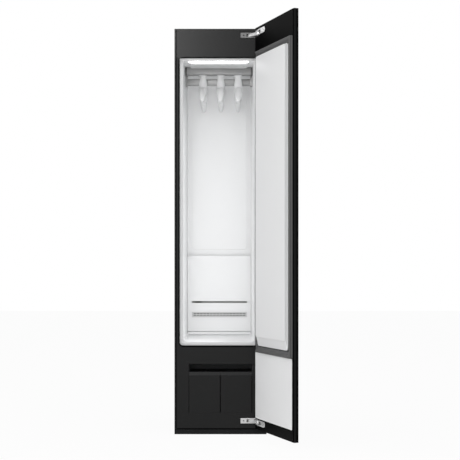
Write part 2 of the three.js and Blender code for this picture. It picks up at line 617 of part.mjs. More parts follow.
// Blown hanger: round head, flattened neck that widens, and sloping shoulders with outlet slits below
function airHanger(name, x) {
  const sides = 12;
  const head = rod('x', [0, 0], hanger.headRadius, -hanger.headLength / 2, hanger.headLength / 2, 16);
  const reach = (coverDepth - hanger.backGap - hanger.frontGap) / 2;
  const neckShares = [[0, 0, 0], [0.28, 0.05, 0], [0.62, 0.7, 0.3], [1, 1, 1]];
  const neck = loft(neckShares.map(([fall, wide, deep]) => ovalRing('z', [0, 0, -hanger.drop * fall],
    hanger.neckHalfWidth + (hanger.baseHalfWidth - hanger.neckHalfWidth) * wide,
    hanger.neckHalfDepth + (hanger.baseHalfDepth - hanger.neckHalfDepth) * deep, sides)).reverse());
  const reachShares = [-1, -0.92, -0.65, -0.32, 0, 0.32, 0.65, 0.92, 1];
  const lineZ = (share) => -hanger.drop - hanger.shoulderDrop * Math.abs(share) ** 1.35;
  const slim = (share) => Math.abs(share) ** 1.6;
  const tip = (share) => (Math.abs(share) === 1 ? hanger.tipShare : 1);
  const halfHeight = (share) =>
    hanger.middleHalfHeight + (hanger.tipHalfHeight - hanger.middleHalfHeight) * slim(share);
  const shoulders = loft(reachShares.map((share) => ovalRing('y', [0, reach * share, lineZ(share)],
    tip(share) * (hanger.middleHalfWidth + (hanger.tipHalfWidth - hanger.middleHalfWidth) * slim(share)),
    tip(share) * halfHeight(share), sides)));
  const slits = [-1, 1].flatMap((sign) => Array.from({ length: hanger.slots }, (_, n) => {
    const share = (n + 2) / (hanger.slots + 3);
    const y = sign * reach * share;
    const low = lineZ(share) - halfHeight(share);
    return block([-hanger.slotHalfWidth, hanger.slotHalfWidth],
      [y - hanger.slotLength / 2, y + hanger.slotLength / 2], [low - overrun, low + hanger.slotDepth]);
  }));
  const made = mesh(name, cut(join(head, neck, shoulders), slits), materials.whitePlastic);
  made.position.set(x, at(hangerDepth), hangerPivotZ);
  return made;
}

// Door pieces are drawn where they lie with the door closed
const doorHalf = halfWidth - door.sideGap;
const doorBottom = cabinet.raised + door.lift;
const doorTop = cabinet.height - door.topGap;
const doorInside = -door.gap;
const doorOutside = -door.gap - door.thick;
const doorPinX = doorHalf - hinge.doorPinInset;

function pocketCut(z, x, depth) {
  const half = hinge.halfHeight + hingePocket.margin;
  return block(x, depth, [z - half, z + half]);
}

const hingeHeights = [['lower', hinge.lowerZ], ['upper', upperHingeZ]];

function skinDoor() {
  const outer = block([-doorHalf, doorHalf], [at(doorOutside), at(doorOutside + door.skinReturn)],
    [doorBottom, doorTop]);
  const hollow = block([-doorHalf + sheet, doorHalf - sheet],
    [at(doorOutside) + sheet, at(doorOutside + door.skinReturn) + overrun],
    [doorBottom + sheet, doorTop - sheet]);
  const notchX = [doorHalf - sheet - overrun / 2, doorHalf + overrun];
  const notches = hingeHeights.map(([, z]) => pocketCut(z, notchX,
    [at(doorInside - hingePocket.depth + hinge.pinRadius), at(doorInside) + overrun]));
  return mesh('door_skin', cut(outer, hollow, notches), materials.blackSteel);
}

function frameDoor() {
  const edge = sheet + clearance;
  const x = [-doorHalf + edge, doorHalf - edge];
  const z = [doorBottom + edge, doorTop - edge];
  const y = [at(doorOutside) + edge, at(doorInside)];
  const outer = block(x, y, z);
  const w = door.frameWall;
  const hollow = block([x[0] + w, x[1] - w], [y[0] - overrun, y[1] - door.frameThick], [z[0] + w, z[1] - w]);
  const pocketLeft = doorPinX - hingePocket.reach;
  const boxes = hingeHeights.map(([, middle]) => {
    const half = hinge.halfHeight + hingePocket.margin + hingePocket.wall;
    const low = Math.max(middle - half, z[0]);
    const high = Math.min(middle + half, z[1]);
    return block([pocketLeft - hingePocket.wall, x[1]], y, [low, high]);
  });
  const pockets = hingeHeights.map(([, middle]) => pocketCut(middle, [pocketLeft, doorHalf + overrun],
    [at(doorInside) - door.thick + 2 * sheet + edge, y[1] + overrun]));
  return mesh('door_frame', cut(join(cut(outer, hollow), boxes), pockets), materials.blackPlastic);
}

function sealDoor() {
  const g = gasket;
  const y = [at(doorInside) + clearance, front - clearance];
  const shapeFor = (grow) => rounded([openLeft - g.leftMargin - grow, openRight + g.rightMargin + grow],
    [opening.bottom - g.bottomMargin - grow, openTop + g.topMargin + grow], g.corner - g.width + grow);
  const ring = cut(along('y', shapeFor(g.width), y[0], y[1]),
    along('y', shapeFor(0), y[0] - overrun, y[1] + overrun));
  const grooveFar = (g.width + g.grooveWidth) / 2;
  const grooveOut = along('y', shapeFor(grooveFar), y[1] - g.grooveDepth, y[1] + overrun);
  const grooveIn = along('y', shapeFor(grooveFar - g.grooveWidth), y[1] - g.grooveDepth - overrun,
    y[1] + 2 * overrun);
  return mesh('door_gasket', cut(ring, cut(grooveOut, grooveIn)), materials.rubber);
}

// Raised upper lining that reaches a little into the cavity; its foot slopes more than its sides
function liningDoor() {
  const l = lining;
  const y = [at(doorInside) + clearance, at(doorInside + l.proud)];
  const x = [openLeft + l.leftInset, openRight - l.rightInset];
  const z = [opening.bottom + l.bottomInset, openTop - l.topInset];
  const ringFor = (share, grow, place, soften) => ringAt(
    [x[0] + l.slope * share - grow + soften, x[1] - l.hingeSlope * share + grow - soften],
    [z[0] + l.footSlope * share - grow + soften, z[1] - l.slope * share + grow - soften], place, l.corner);
  const outer = loft([
    ringFor(0, 0, y[0], 0), ringFor(1, 0, y[1] - l.edge, 0), ringFor(1, 0, y[1] - l.edge / 3, l.edge / 3),
    ringFor(1, 0, y[1], l.edge),
  ].reverse());
  const hollow = loft([
    ringFor(0, -l.wall, y[0] - overrun, 0), ringFor(0, -l.wall, y[0], 0),
    ringFor(1, -l.wall, y[1] - l.wall, 0),
  ].reverse());
  return mesh('door_upper_lining', cut(outer, hollow), materials.whitePlastic);
}

function lowerLiningDoor() {
  const x = [-doorHalf + lowerLining.side, doorHalf - lowerLining.side];
  const z = [
    hinge.lowerZ + doorPlate.halfHeight + lowerLining.hingeGap,
    opening.bottom - gasket.bottomMargin - gasket.width - lowerLining.gasketGap,
  ];
  const shape = rounded(x, z, lowerLining.corner);
  const y = at(doorInside) + clearance;
  return mesh('door_lower_lining', along('y', shape, y, y + lowerLining.thick), materials.whitePlastic);
}

// Hinge housing let into the cabinet front: forked plate, box and the two webs that hold the pin
function baseHinge(name, z) {
  const b = hingeBase;
  const h = hinge.halfHeight;
  const x = [pinX - b.leftReach, pinX + b.rightReach];
  const plateY = [at(b.plateFront), at(b.plateFront + b.plateThick)];
  const plateShape = rounded([x[0], pinX + b.plateReach], [z - h, z + h], b.corner);
  const plate = along('y', plateShape, plateY[0], plateY[1]);
  const outer = block(x, [plateY[1] - b.plateThick / 2, at(b.depth)], [z - h, z + h]);
  const hollow = block([x[0] + b.wall, x[1] - b.wall], [plateY[0] - overrun, at(b.depth) - b.wall],
    [z - h + b.wall, z + h - b.wall]);
  const bandZ = (sign, far) => [Math.min(z + sign * hinge.slotHalf, z + sign * far),
    Math.max(z + sign * hinge.slotHalf, z + sign * far)];
  const webs = [-1, 1].map((sign) => block([pinX - b.webLeft, pinX + b.webRight], [plateY[0], at(b.webDepth)],
    bandZ(sign, hinge.slotHalf + hinge.webThick)));
  const backWeb = [-1, 1].map((sign) =>
    block([pinX - b.webLeft, pinX - b.webLeft + b.wall], [plateY[0], at(b.depth)], bandZ(sign, h)));
  const slot = block([pinX - b.slotReach, x[1] - b.wall], [plateY[0] - overrun, plateY[1] + overrun],
    [z - hinge.slotHalf, z + hinge.slotHalf]);
  const pinHole = rod('z', [pinX, at(hinge.cabinetPinDepth)], hinge.pinRadius + clearance,
    z - h + b.wall, z + h - b.wall, 16);
  const screw = rod('y', [pinX - b.screwReach, z], b.screwRadius, plateY[0] - overrun,
    plateY[1] + overrun, 12);
  const holes = [slot, pinHole, screw];
  return mesh(name, cut(join(cut(outer, hollow), plate, webs, backWeb), holes), materials.chrome);
}

// Flat link between the two pins, waisted between round ends
function linkShape(length) {
  const r = hinge.linkHalfWidth;
  const waist = r * hinge.linkWaistShare;
  const near = length * hinge.linkShoulderShare;
  const far = length - near;
  const turn = Math.PI * hinge.linkRoundShare;
  const shape = new THREE.Shape();
  shape.absarc(0, 0, r, Math.PI - turn, Math.PI + turn, false);
  shape.lineTo(near, -waist);
  shape.lineTo(far, -waist);
  shape.absarc(length, 0, r, -turn, turn, false);
  shape.lineTo(far, waist);
  shape.lineTo(near, waist);
  for (const x of [0, length]) {
    const hole = new THREE.Path();
    hole.absarc(x, 0, hinge.pinRadius + clearance, 0, Math.PI * 2, true);
    shape.holes.push(hole);
  }
  return shape;
}

const radians = THREE.MathUtils.degToRad;
const cabinetPin = new THREE.Vector2(pinX, at(hinge.cabinetPinDepth));
const doorPinClosed = new THREE.Vector2(doorPinX, at(hinge.doorPinDepth));
const linkReach = doorPinClosed.clone().sub(cabinetPin);
const linkAngle = Math.atan2(linkReach.y, linkReach.x) + radians(hinge.linkTurn);
const doorPin = linkReach.clone().rotateAround(new THREE.Vector2(), radians(hinge.linkTurn)).add(cabinetPin);

function hingeLink(name, z) {
  const body = along('z', linkShape(linkReach.length()), -hinge.linkHalfThick, hinge.linkHalfThick, 7);
  const made = mesh(name, body, materials.chrome);
  made.position.set(cabinetPin.x, cabinetPin.y, z);
  made.rotation.z = linkAngle;
  return made;
}

function hingePin(name, place, z) {
  const half = hinge.slotHalf + hinge.webThick;
  const body = rod('z', [0, 0], hinge.pinRadius, -half, half, 16);
  const made = mesh(name, body, materials.zinc);
  made.position.set(place.x, place.y, z);
  return made;
}

// Plate on the door's inner face, with a round end, a slot for the link and two ears for the pin
function plateHinge(name, z) {
  const p = doorPlate;
  const y = [at(doorInside) + clearance, at(doorInside) + clearance + p.thick];
  const x = [doorPinX - p.leftReach, doorPinX - p.rightInset];
  const wide = [z - p.halfHeight, z + p.halfHeight];
  const plate = along('y', rounded(x, wide, p.halfHeight), y[0], y[1], 6);
  const square = block([x[1] - p.halfHeight, x[1]], y, wide);
  const earShape = rounded([doorPinX - p.earLeft, doorPinX + p.earRight],
    [at(doorInside - p.earDepth + hinge.pinRadius), y[1]], hinge.pinRadius);
  const ears = [z - hinge.slotHalf - hinge.webThick, z + hinge.slotHalf].map((low) =>
    along('z', earShape, low, low + hinge.webThick));
  const slot = block([doorPinX - p.slotReach, doorPinX + p.earRight + overrun],
    [at(doorInside) - overrun, y[1] + overrun], [z - hinge.slotHalf, z + hinge.slotHalf]);
  const pinHole = rod('z', [doorPinX, at(hinge.doorPinDepth)], hinge.pinRadius + clearance,
    wide[0], wide[1], 16);
  const screw = rod('y', [doorPinX - p.screwReach, z], p.screwRadius, y[0] - overrun, y[1] + overrun, 12);
  return mesh(name, cut(join(plate, square, ears), slot, pinHole, screw), materials.chrome);
}

function tankBay() {
  const w = bay.wall;
  const y = [at(frontFrame.thick) + clearance, at(bayDepth)];
  const outer = block([-bayHalf - w, bayHalf + w], y, [bay.bottom - w, bay.top + w]);
  const hollow = block([-bayHalf, bayHalf], [y[0] - overrun, y[1] - w], [bay.bottom, bay.top]);
  const legs = [-1, 1].map((sign) => sign * (bayHalf - bay.legInset)).map((x) =>
    block([x - bay.legThick / 2, x + bay.legThick / 2], [y[0] + bay.legMargin, y[1] - bay.legMargin],
      [machineFloor, bay.bottom - w / 2]));
  return mesh('tank_bay', cut(join(outer, legs), hollow), materials.blackPlastic);
}

const tankSpan = (sign) => {
  const near = sign * tank.gap / 2;
  const far = sign * (bayHalf - clearance);
  return [Math.min(near, far), Math.max(near, far)];
};
const tankY = [at(tank.proud), at(tank.proud + bayDepth - tank.behind)];
const tankTop = bay.top - tank.underTop;
const lidBottom = tankTop - tank.lidHeight;

function waterTank(name, sign) {
  const x = tankSpan(sign);
  const y = tankY;
  const z = [bay.bottom + clearance, lidBottom - clearance];
  const outer = along('z', rounded(x, y, tank.corner), z[0], z[1]);
  const inside = rounded([x[0] + tank.wall, x[1] - tank.wall], [y[0] + tank.frontThick, y[1] - tank.wall],
    tank.corner - tank.wall);
  const hollow = along('z', inside, z[0] + tank.wall, z[1] + overrun);
  return mesh(name, cut(outer, hollow), materials.smoked);
}

// Lid with a sloping front lip, a plug rim that sits in the tank and a filler cap
function tankLid(name, sign) {
  const x = tankSpan(sign);
  const y = tankY;
  const z = [lidBottom, tankTop];
  const profile = polygon([
    [y[0], z[0]], [y[1], z[0]], [y[1], z[1] - tank.lidRib], [y[0] + 4 * tank.lidSlope, z[1] - tank.lidRib],
    [y[0] + 3 * tank.lidSlope, z[1]], [y[0] + tank.lidSlope, z[1]],
  ]);
  const lid = along('x', profile, x[0], x[1]);
  const inset = tank.wall + clearance;
  const plugShape = rounded([x[0] + inset, x[1] - inset],
    [y[0] + tank.frontThick + clearance, y[1] - inset], tank.corner - tank.wall);
  const plug = along('z', plugShape, z[0] - tank.seat, z[0] + tank.seat);
  const cap = rod('z', [(x[0] + x[1]) / 2, (y[0] + y[1]) / 2], tank.capRadius, z[0] + tank.seat,
    z[1] - tank.lidRib + tank.lidRibHeight, 20);
  return mesh(name, join(lid, plug, cap), materials.blackPlastic);
}

function compressorPot() {
  const c = compressor;
  const top = c.height - c.footHeight;
  const outline = [
    [0, 0], [c.radius - c.shoulder / 2, 0], [c.radius, c.shoulder / 2], [c.radius, top - c.shoulder],
    [c.radius - c.shoulder * c.shoulderShare, top - c.shoulder * c.shoulderShare],
    [c.radius - c.shoulder, top], [0, top],
  ].map(([r, z]) => new THREE.Vector2(r, z));
  const pot = solid(new THREE.LatheGeometry(outline, 18).rotateX(Math.PI / 2).translate(0, 0, c.footHeight));
  const plate = along('z', rounded([-c.plateHalf, c.plateHalf], [-c.plateHalf, c.plateHalf], c.shoulder),
    c.footHeight - c.plateThick, c.footHeight + c.plateThick);
  const grommetReach = c.plateHalf - c.footHeight;
  const grommets = [-1, 1].flatMap((sx) => [-1, 1].map((sy) =>
    rod('z', [sx * grommetReach, sy * grommetReach], c.footHeight - c.plateThick, 0, c.footHeight, 8)));
  const stub = rod('z', [c.stubOut, 0], c.stubRadius, c.height - c.shoulder, c.height + c.stubHeight, 10);
  const made = mesh('compressor', join(pot, plate, grommets, stub), materials.blackSteel);
  made.position.set(halfWidth * acrossShares.compressor, fromBack(c.fromBack), machineFloor);
  return made;
}

function steamBoiler() {
  const b = boiler;
  const half = b.length / 2;
  const axisZ = b.lift + b.radius;
  const outline = [
    [0, -half], [b.radius - b.dome, -half], [b.radius, -half + b.dome], [b.radius, half - b.dome],
    [b.radius - b.dome, half], [0, half],
  ].map(([r, z]) => new THREE.Vector2(r, z));
  const drum = solid(new THREE.LatheGeometry(outline, 18).rotateZ(-Math.PI / 2).translate(0, 0, axisZ));
  const saddles = [-1, 1].map((sign) => {
    const middle = sign * half * b.saddleShare;
    return block([middle - b.saddleWidth / 2, middle + b.saddleWidth / 2], [-b.saddleHalf, b.saddleHalf],
      [0, axisZ - b.lift]);
  });
  const stub = rod('z', [half * b.stubShare, 0], b.stubRadius, axisZ, axisZ + b.radius + b.stubHeight, 12);
  const made = mesh('steam_generator', join(drum, saddles, stub), materials.aluminium);
  made.position.set(halfWidth * acrossShares.boiler, fromBack(b.fromBack), machineFloor);
  return made;
}

// Fins on flat tubes between two end plates
function finBlock() {
  const e = exchanger;
  const left = -halfWidth + e.sideGap;
  const right = halfWidth * acrossShares.exchangerRight;
  const y = [fromBack(e.fromBack), fromBack(e.fromBack) + e.depth];
  const z = [machineFloor, machineFloor + e.height];
  const pitch = (right - left - e.finThick) / (e.fins + 1);
  const plates = [left, right - e.plate].map((x) => block([x, x + e.plate], y, z));
  const fins = Array.from({ length: e.fins }, (_, i) => {
    const x = left + (i + 1) * pitch;
    return block([x, x + e.finThick], [y[0] + e.plate, y[1] - e.plate], [z[0] + e.plate, z[1] - e.plate]);
  });
  const tubeY = [(y[0] + y[1] - e.tubeWidth) / 2, (y[0] + y[1] + e.tubeWidth) / 2];
  const tubes = e.tubeShares.map((up) => {
    const low = z[0] + (z[1] - z[0]) * up;
    return block([left, right], tubeY, [low, low + e.tubeThick]);
  });
  return mesh('heat_exchanger', join(plates, fins, tubes), materials.aluminium);
}

const fanZ = machineFloor + fan.axisZ;
const fanFront = fromBack(fan.fromBack);

function scrollHousing() {
  const f = fan;
  const y = [fanFront, fanFront + f.width];
  const body = (grow) => {
    const radius = f.wheelRadius + f.scrollGap + grow;
    const round = rod('y', [fanX, fanZ], radius, y[0] + f.wall - grow, y[1] - f.wall + grow, 26);
    const neck = block([outletSpan[0] + f.wall - grow, outletSpan[1] - f.wall + grow],
      [y[0] + f.wall - grow, y[1] - f.wall + grow], [fanZ, f.outletTop + (grow ? 0 : overrun)]);
    return join(round, neck);
  };
  const inletHole = rod('y', [fanX, fanZ], f.inletRadius, y[0] - overrun, y[0] + f.wall + overrun, 22);
  const motorHole = rod('y', [fanX, fanZ], f.motorRadius + clearance, y[1] - f.wall - overrun,
    y[1] + overrun, 20);
  const legs = [-1, 1].map((sign) => {
    const x = fanX + sign * f.wheelRadius * f.legShare;
    return block([x - f.wall, x + f.wall], [y[0] + f.wall, y[1] - f.wall],
      [machineFloor, fanZ - f.wheelRadius * f.legShare]);
  });
  const holes = [body(0), inletHole, motorHole];
  return mesh('fan_housing', cut(join(body(f.wall), legs), holes), materials.greyPlastic);
}

function bladeWheel() {
  const f = fan;
  const depth = (f.width - f.wheelWidth) / 2;
  const y = [fanFront + depth, fanFront + depth + f.wheelWidth];
  const disc = rod('y', [0, 0], f.wheelRadius, y[1] - f.disc, y[1], 24);
  const hub = rod('y', [0, 0], f.hubRadius / 2, y[1] - f.wheelWidth / 2, y[1], 16);
  const ring = cut(rod('y', [0, 0], f.wheelRadius, y[0], y[0] + f.disc, 24),
    rod('y', [0, 0], f.wheelRadius - f.bladeDepth, y[0] - overrun, y[0] + f.disc + overrun, 24));
  const blade = block([f.wheelRadius - f.bladeDepth, f.wheelRadius - f.disc / 2], y,
    [-f.bladeThick / 2, f.bladeThick / 2]);
  const blades = Array.from({ length: f.blades }, (_, i) => blade.rotate([0, 360 * i / f.blades, 0]));
  const bore = rod('y', [0, 0], f.shaftRadius + clearance, y[0] - overrun, y[1] + overrun, 14);
  const made = mesh('fan_wheel', cut(join(disc, hub, ring, blades), bore), materials.blackPlastic);
  made.position.set(fanX, 0, fanZ);
  return made;
}

function fanMotor() {
  const f = fan;
  const behind = fanFront + f.width - f.motorLength / 2;
  const can = rod('y', [fanX, fanZ], f.motorRadius, behind, behind + f.motorLength, 20);
  const shaft = rod('y', [fanX, fanZ], f.shaftRadius, fanFront + f.width / 2, behind + f.motorLength / 2, 14);
  return mesh('fan_motor', join(can, shaft), materials.zinc);
}

// Flat duct up the back and over the roof to the duct bar
function airRiser() {
  const r = riser;
  const y = [fromBack(r.fromBack), fromBack(r.fromBack) + r.depth];
  const spout = spoutSpan(0);
  const headBottom = linerRoof + r.overLiner;
  const top = headBottom + r.headHeight;
  const body = (shrink) => {
    const open = shrink ? overrun : 0;
    const x = [outletSpan[0] + shrink, outletSpan[1] - shrink];
    const up = block(x, [y[0] + shrink, y[1] - shrink], [fan.outletTop + clearance - open, top - shrink]);
    const over = block(x, [spout.y[0] + shrink, y[1] - shrink], [headBottom + shrink, top - shrink]);
    const down = block([spout.x[0] + shrink, spout.x[1] - shrink], [spout.y[0] + shrink, spout.y[1] - shrink],
      [ceiling - open, headBottom + r.headHeight / 2]);
    return join(up, over, down);
  };
  return mesh('air_riser', cut(body(0), body(r.wall)), materials.greyPlastic);
}

function waterPump() {
  const p = pump;
  const base = block([-p.baseHalf, p.baseHalf], [-p.baseHalf, p.baseHalf], [0, p.baseThick]);
  const can = rod('z', [0, 0], p.radius, 0, p.height, 16);
  const collarZ = p.collarShares.map((share) => p.height * share);
  const head = rod('z', [0, 0], p.radius + p.baseThick / 2, collarZ[0], collarZ[1], 16);
  const spout = rod('y', [0, p.height * p.spoutShare], p.spoutRadius, -p.radius - p.spoutLength, 0, 12);
  const made = mesh('water_pump', join(base, can, head, spout), materials.blackPlastic);
  made.position.set(halfWidth * acrossShares.pump, fromBack(p.fromBack), machineFloor);
  return made;
}

const boxFloor = linerRoof + clearance;
const boxX = [outletSpan[1] + controlBox.riserGap, halfWidth - controlBox.fromRight];
const boxY = [at(controlBox.front), fromBack(controlBox.fromBack)];

function boxControl() {
  const c = controlBox;
  const x = boxX;
  const y = boxY;
  const outer = block(x, y, [boxFloor, boxFloor + c.height]);
  const w = c.wall;
  const hollow = block([x[0] + w, x[1] - w], [y[0] + w, y[1] - w],
    [boxFloor + w, boxFloor + c.height + overrun]);
  const vent = block([x[0] - overrun, x[1] + overrun], [y[0] + c.lip * 4, y[1] - c.lip * 4],
    [boxFloor + c.height - 3 * c.lip, boxFloor + c.height - c.lip]);
  return mesh('control_box', cut(outer, hollow, vent), materials.blackPlastic);
}

function boardControl() {
  const c = controlBox;
  const b = controlBoard;
  const x = [boxX[0] + c.wall + b.inset, boxX[1] - c.wall - b.inset];
  const y = [boxY[0] + c.wall + b.inset, boxY[1] - c.wall - b.inset];
  const z = boxFloor + c.wall + b.lift;
  const board = block(x, y, [z, z + b.thick]);
  const place = (across, deep) => [x[0] + (x[1] - x[0]) * across, y[0] + (y[1] - y[0]) * deep];
  const parts = b.partShares.map(([across, deep]) => {
    const [px, py] = place(across, deep);
    return block([px - b.partHalf, px + b.partHalf], [py - b.partHalf, py + b.partHalf],
      [z, z + b.partHeight]);
  });
  const posts = b.postShares.map(([across, deep]) =>
    rod('z', place(across, deep), b.lift / 2, boxFloor + c.wall + clearance, z + b.thick / 2, 8));
  return mesh('control_board', join(board, parts, posts), materials.greyPlastic);
}

function powerInlet() {
  const n = inlet;
  const face = back - sheet - clearance;
  const x = [inletX - n.halfWidth, inletX + n.halfWidth];
  const z = [n.z - n.halfHeight, n.z + n.halfHeight];
  const cup = block(x, [face - n.depth, face + clearance], z);
  const rim = block([x[0] - n.flange, x[1] + n.flange], [face + clearance, face + clearance + n.flangeThick],
    [z[0] - n.flange, z[1] + n.flange]);
  const hollow = block([x[0] + n.wall, x[1] - n.wall],
    [face - n.depth + n.wall, face + n.flangeThick + overrun], [z[0] + n.wall, z[1] - n.wall]);
  const pins = [-1, 0, 1].map((i) => {
    const middle = inletX + i * n.halfWidth / 2;
    return block([middle - n.pinHalf / 2, middle + n.pinHalf / 2],
      [face - n.depth + n.wall / 2, face - n.depth / 3], [n.z - n.pinHalf, n.z + n.pinHalf]);
  });
  return mesh('power_inlet', join(cut(join(cup, rim), hollow), pins), materials.blackPlastic);
}

const casing = new THREE.Group();
casing.add(sidePanel(-1), sidePanel(1), topSheet(), backSheet(), tray());
casing.add(kickPlate(), frameFront(), fasciaHead());
for (const [side, sign] of [['left', -1], ['right', 1]]) {
  casing.add(levelFoot(`foot_front_${side}`, sign * (halfWidth - foot.fromSide), at(foot.fromFront)));
  casing.add(levelFoot(`foot_rear_${side}`, sign * (halfWidth - foot.fromSide), back - foot.fromBack));
}

const cavity = new THREE.Group();
cavity.add(moulding(), backWall(), coverLowerBack(), steamTrough(), lintCassette(), lampLens());
cavity.add(coverCeiling(), barDuct(), rodRail(), bracketRail(-1), bracketRail(1));
['left', 'middle', 'right'].forEach((side, i) => cavity.add(airHanger(`air_hanger_${side}`, hangerX[i])));

const machine = new THREE.Group();
machine.add(tankBay(), compressorPot(), steamBoiler(), finBlock(), scrollHousing(), bladeWheel(), fanMotor());
machine.add(airRiser(), waterPump(), boxControl(), boardControl(), powerInlet());
machine.add(waterTank('supply_tank', -1), tankLid('supply_tank_lid', -1));
machine.add(waterTank('drain_tank', 1), tankLid('drain_tank_lid', 1));

// The closed door is drawn about its pin, then turned open on the swung link
const doorDrawing = new THREE.Group();
doorDrawing.position.set(-doorPinClosed.x, -doorPinClosed.y, 0);
doorDrawing.add(skinDoor(), frameDoor(), sealDoor(), liningDoor(), lowerLiningDoor());
for (const [level, z] of hingeHeights) doorDrawing.add(plateHinge(`hinge_plate_${level}`, z));
const doorGroup = new THREE.Group();
doorGroup.add(doorDrawing);
doorGroup.position.set(doorPin.x, doorPin.y, 0);
doorGroup.rotation.z = radians(hinge.doorTurn);

const hinges = new THREE.Group();
for (const [level, z] of hingeHeights) {
  hinges.add(baseHinge(`hinge_base_${level}`, z), hingeLink(`hinge_link_${level}`, z));
  hinges.add(hingePin(`cabinet_pin_${level}`, cabinetPin, z), hingePin(`door_pin_${level}`, doorPin, z));
}

const steamCabinet = new THREE.Group();
steamCabinet.add(casing, cavity, machine, hinges, doorGroup);

export default steamCabinet;
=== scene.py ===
# Clothes care steam cabinet with its door open: looks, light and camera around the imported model
import json
import math

import bmesh
import bpy
from mathutils import Matrix, Vector


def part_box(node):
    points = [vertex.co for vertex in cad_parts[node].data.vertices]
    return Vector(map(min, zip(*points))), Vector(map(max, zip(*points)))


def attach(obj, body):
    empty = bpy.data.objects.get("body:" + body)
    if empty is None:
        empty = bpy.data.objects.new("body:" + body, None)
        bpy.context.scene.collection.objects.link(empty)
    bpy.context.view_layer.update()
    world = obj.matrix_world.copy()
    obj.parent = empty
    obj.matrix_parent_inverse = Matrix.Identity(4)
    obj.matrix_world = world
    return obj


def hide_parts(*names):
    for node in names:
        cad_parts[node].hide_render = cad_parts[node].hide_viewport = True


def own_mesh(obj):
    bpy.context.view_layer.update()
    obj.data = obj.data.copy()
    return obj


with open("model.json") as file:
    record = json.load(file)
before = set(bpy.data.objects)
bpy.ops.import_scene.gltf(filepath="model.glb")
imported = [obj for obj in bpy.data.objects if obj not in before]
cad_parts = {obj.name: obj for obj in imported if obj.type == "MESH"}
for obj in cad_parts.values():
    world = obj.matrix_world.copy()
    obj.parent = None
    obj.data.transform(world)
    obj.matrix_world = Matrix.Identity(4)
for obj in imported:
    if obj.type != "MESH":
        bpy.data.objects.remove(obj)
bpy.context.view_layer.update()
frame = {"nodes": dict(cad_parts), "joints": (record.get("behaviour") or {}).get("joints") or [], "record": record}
print("frame loaded with", len(frame["nodes"]), "parts")

scene = bpy.context.scene
scene.view_settings.view_transform = "Standard"
mm = 0.001
overrun = 1 * mm  # how far a cutting shape reaches past what it cuts


# Camera, from the vanishing lines of the open door: metres, and pixels of the square picture from its top
camera = {"distance": 5.25, "aside": 0.0459, "eye": 0.8196, "focalPixels": 1086, "imageWidth": 460,
          "horizonPixels": 264.7, "sensor": 36, "reach": 60}


def placeCamera():
    lens = bpy.data.cameras.new("viewCamera")
    lens.sensor_width = camera["sensor"]
    lens.lens = camera["sensor"] * camera["focalPixels"] / camera["imageWidth"]
    lens.shift_y = (camera["horizonPixels"] - camera["imageWidth"] / 2) / camera["imageWidth"]
    lens.clip_end = camera["reach"]
    eye = bpy.data.objects.new("viewCamera", lens)
    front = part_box("front_frame")[0].y
    eye.location = (camera["aside"], front - camera["distance"], camera["eye"])
    eye.rotation_euler = (math.radians(90), 0, 0)
    scene.collection.objects.link(eye)
    scene.camera = eye


placeCamera()
print("camera placed")


# A socket that takes part in shader sums: each operator adds one Math node
class Wire:
    def __init__(self, tree, socket):
        self.tree = tree
        self.socket = socket

    def maths(self, operation, first, second):
        return self.tree.add("ShaderNodeMath", {"operation": operation}, {0: first, 1: second})

    def __add__(self, other):
        return self.maths("ADD", self, other)

    def __radd__(self, other):
        return self.maths("ADD", other, self)

    def __mul__(self, other):
        return self.maths("MULTIPLY", self, other)

    def __rmul__(self, other):
        return self.maths("MULTIPLY", other, self)

    def larger(self, other):
        return self.maths("MAXIMUM", self, other)


# The nodes of a material or of the world
class Tree:
    def __init__(self, tree):
        self.nodes = tree.nodes
        self.links = tree.links

    # A socket gets a value, or the link of a wire
    def put(self, socket, value):
        if isinstance(value, Wire):
            self.links.new(value.socket, socket)
        else:
            socket.default_value = value

    # Any node: its settings come first, then the values or links of its sockets
    def add(self, kind, settings=None, inputs=None, out=0):
        node = self.nodes.new(kind)
        for name, value in (settings or {}).items():
            setattr(node, name, value)
        for key, value in (inputs or {}).items():
            self.put(node.inputs[key], value)
        return Wire(self, node.outputs[out])

    # 1 where the camera, a reflection or a see-through surface looks, and 0 for the light on the object
    def seen(self):
        viewed = self.add("ShaderNodeLightPath", out="Is Camera Ray")
        mirrored = self.add("ShaderNodeLightPath", out="Is Glossy Ray")
        through = self.add("ShaderNodeLightPath", out="Is Transmission Ray")
        return viewed.larger(mirrored).larger(through)


def grey(level, warm=0.0):
    return (level * (1 + warm), level, level * (1 - warm), 1)


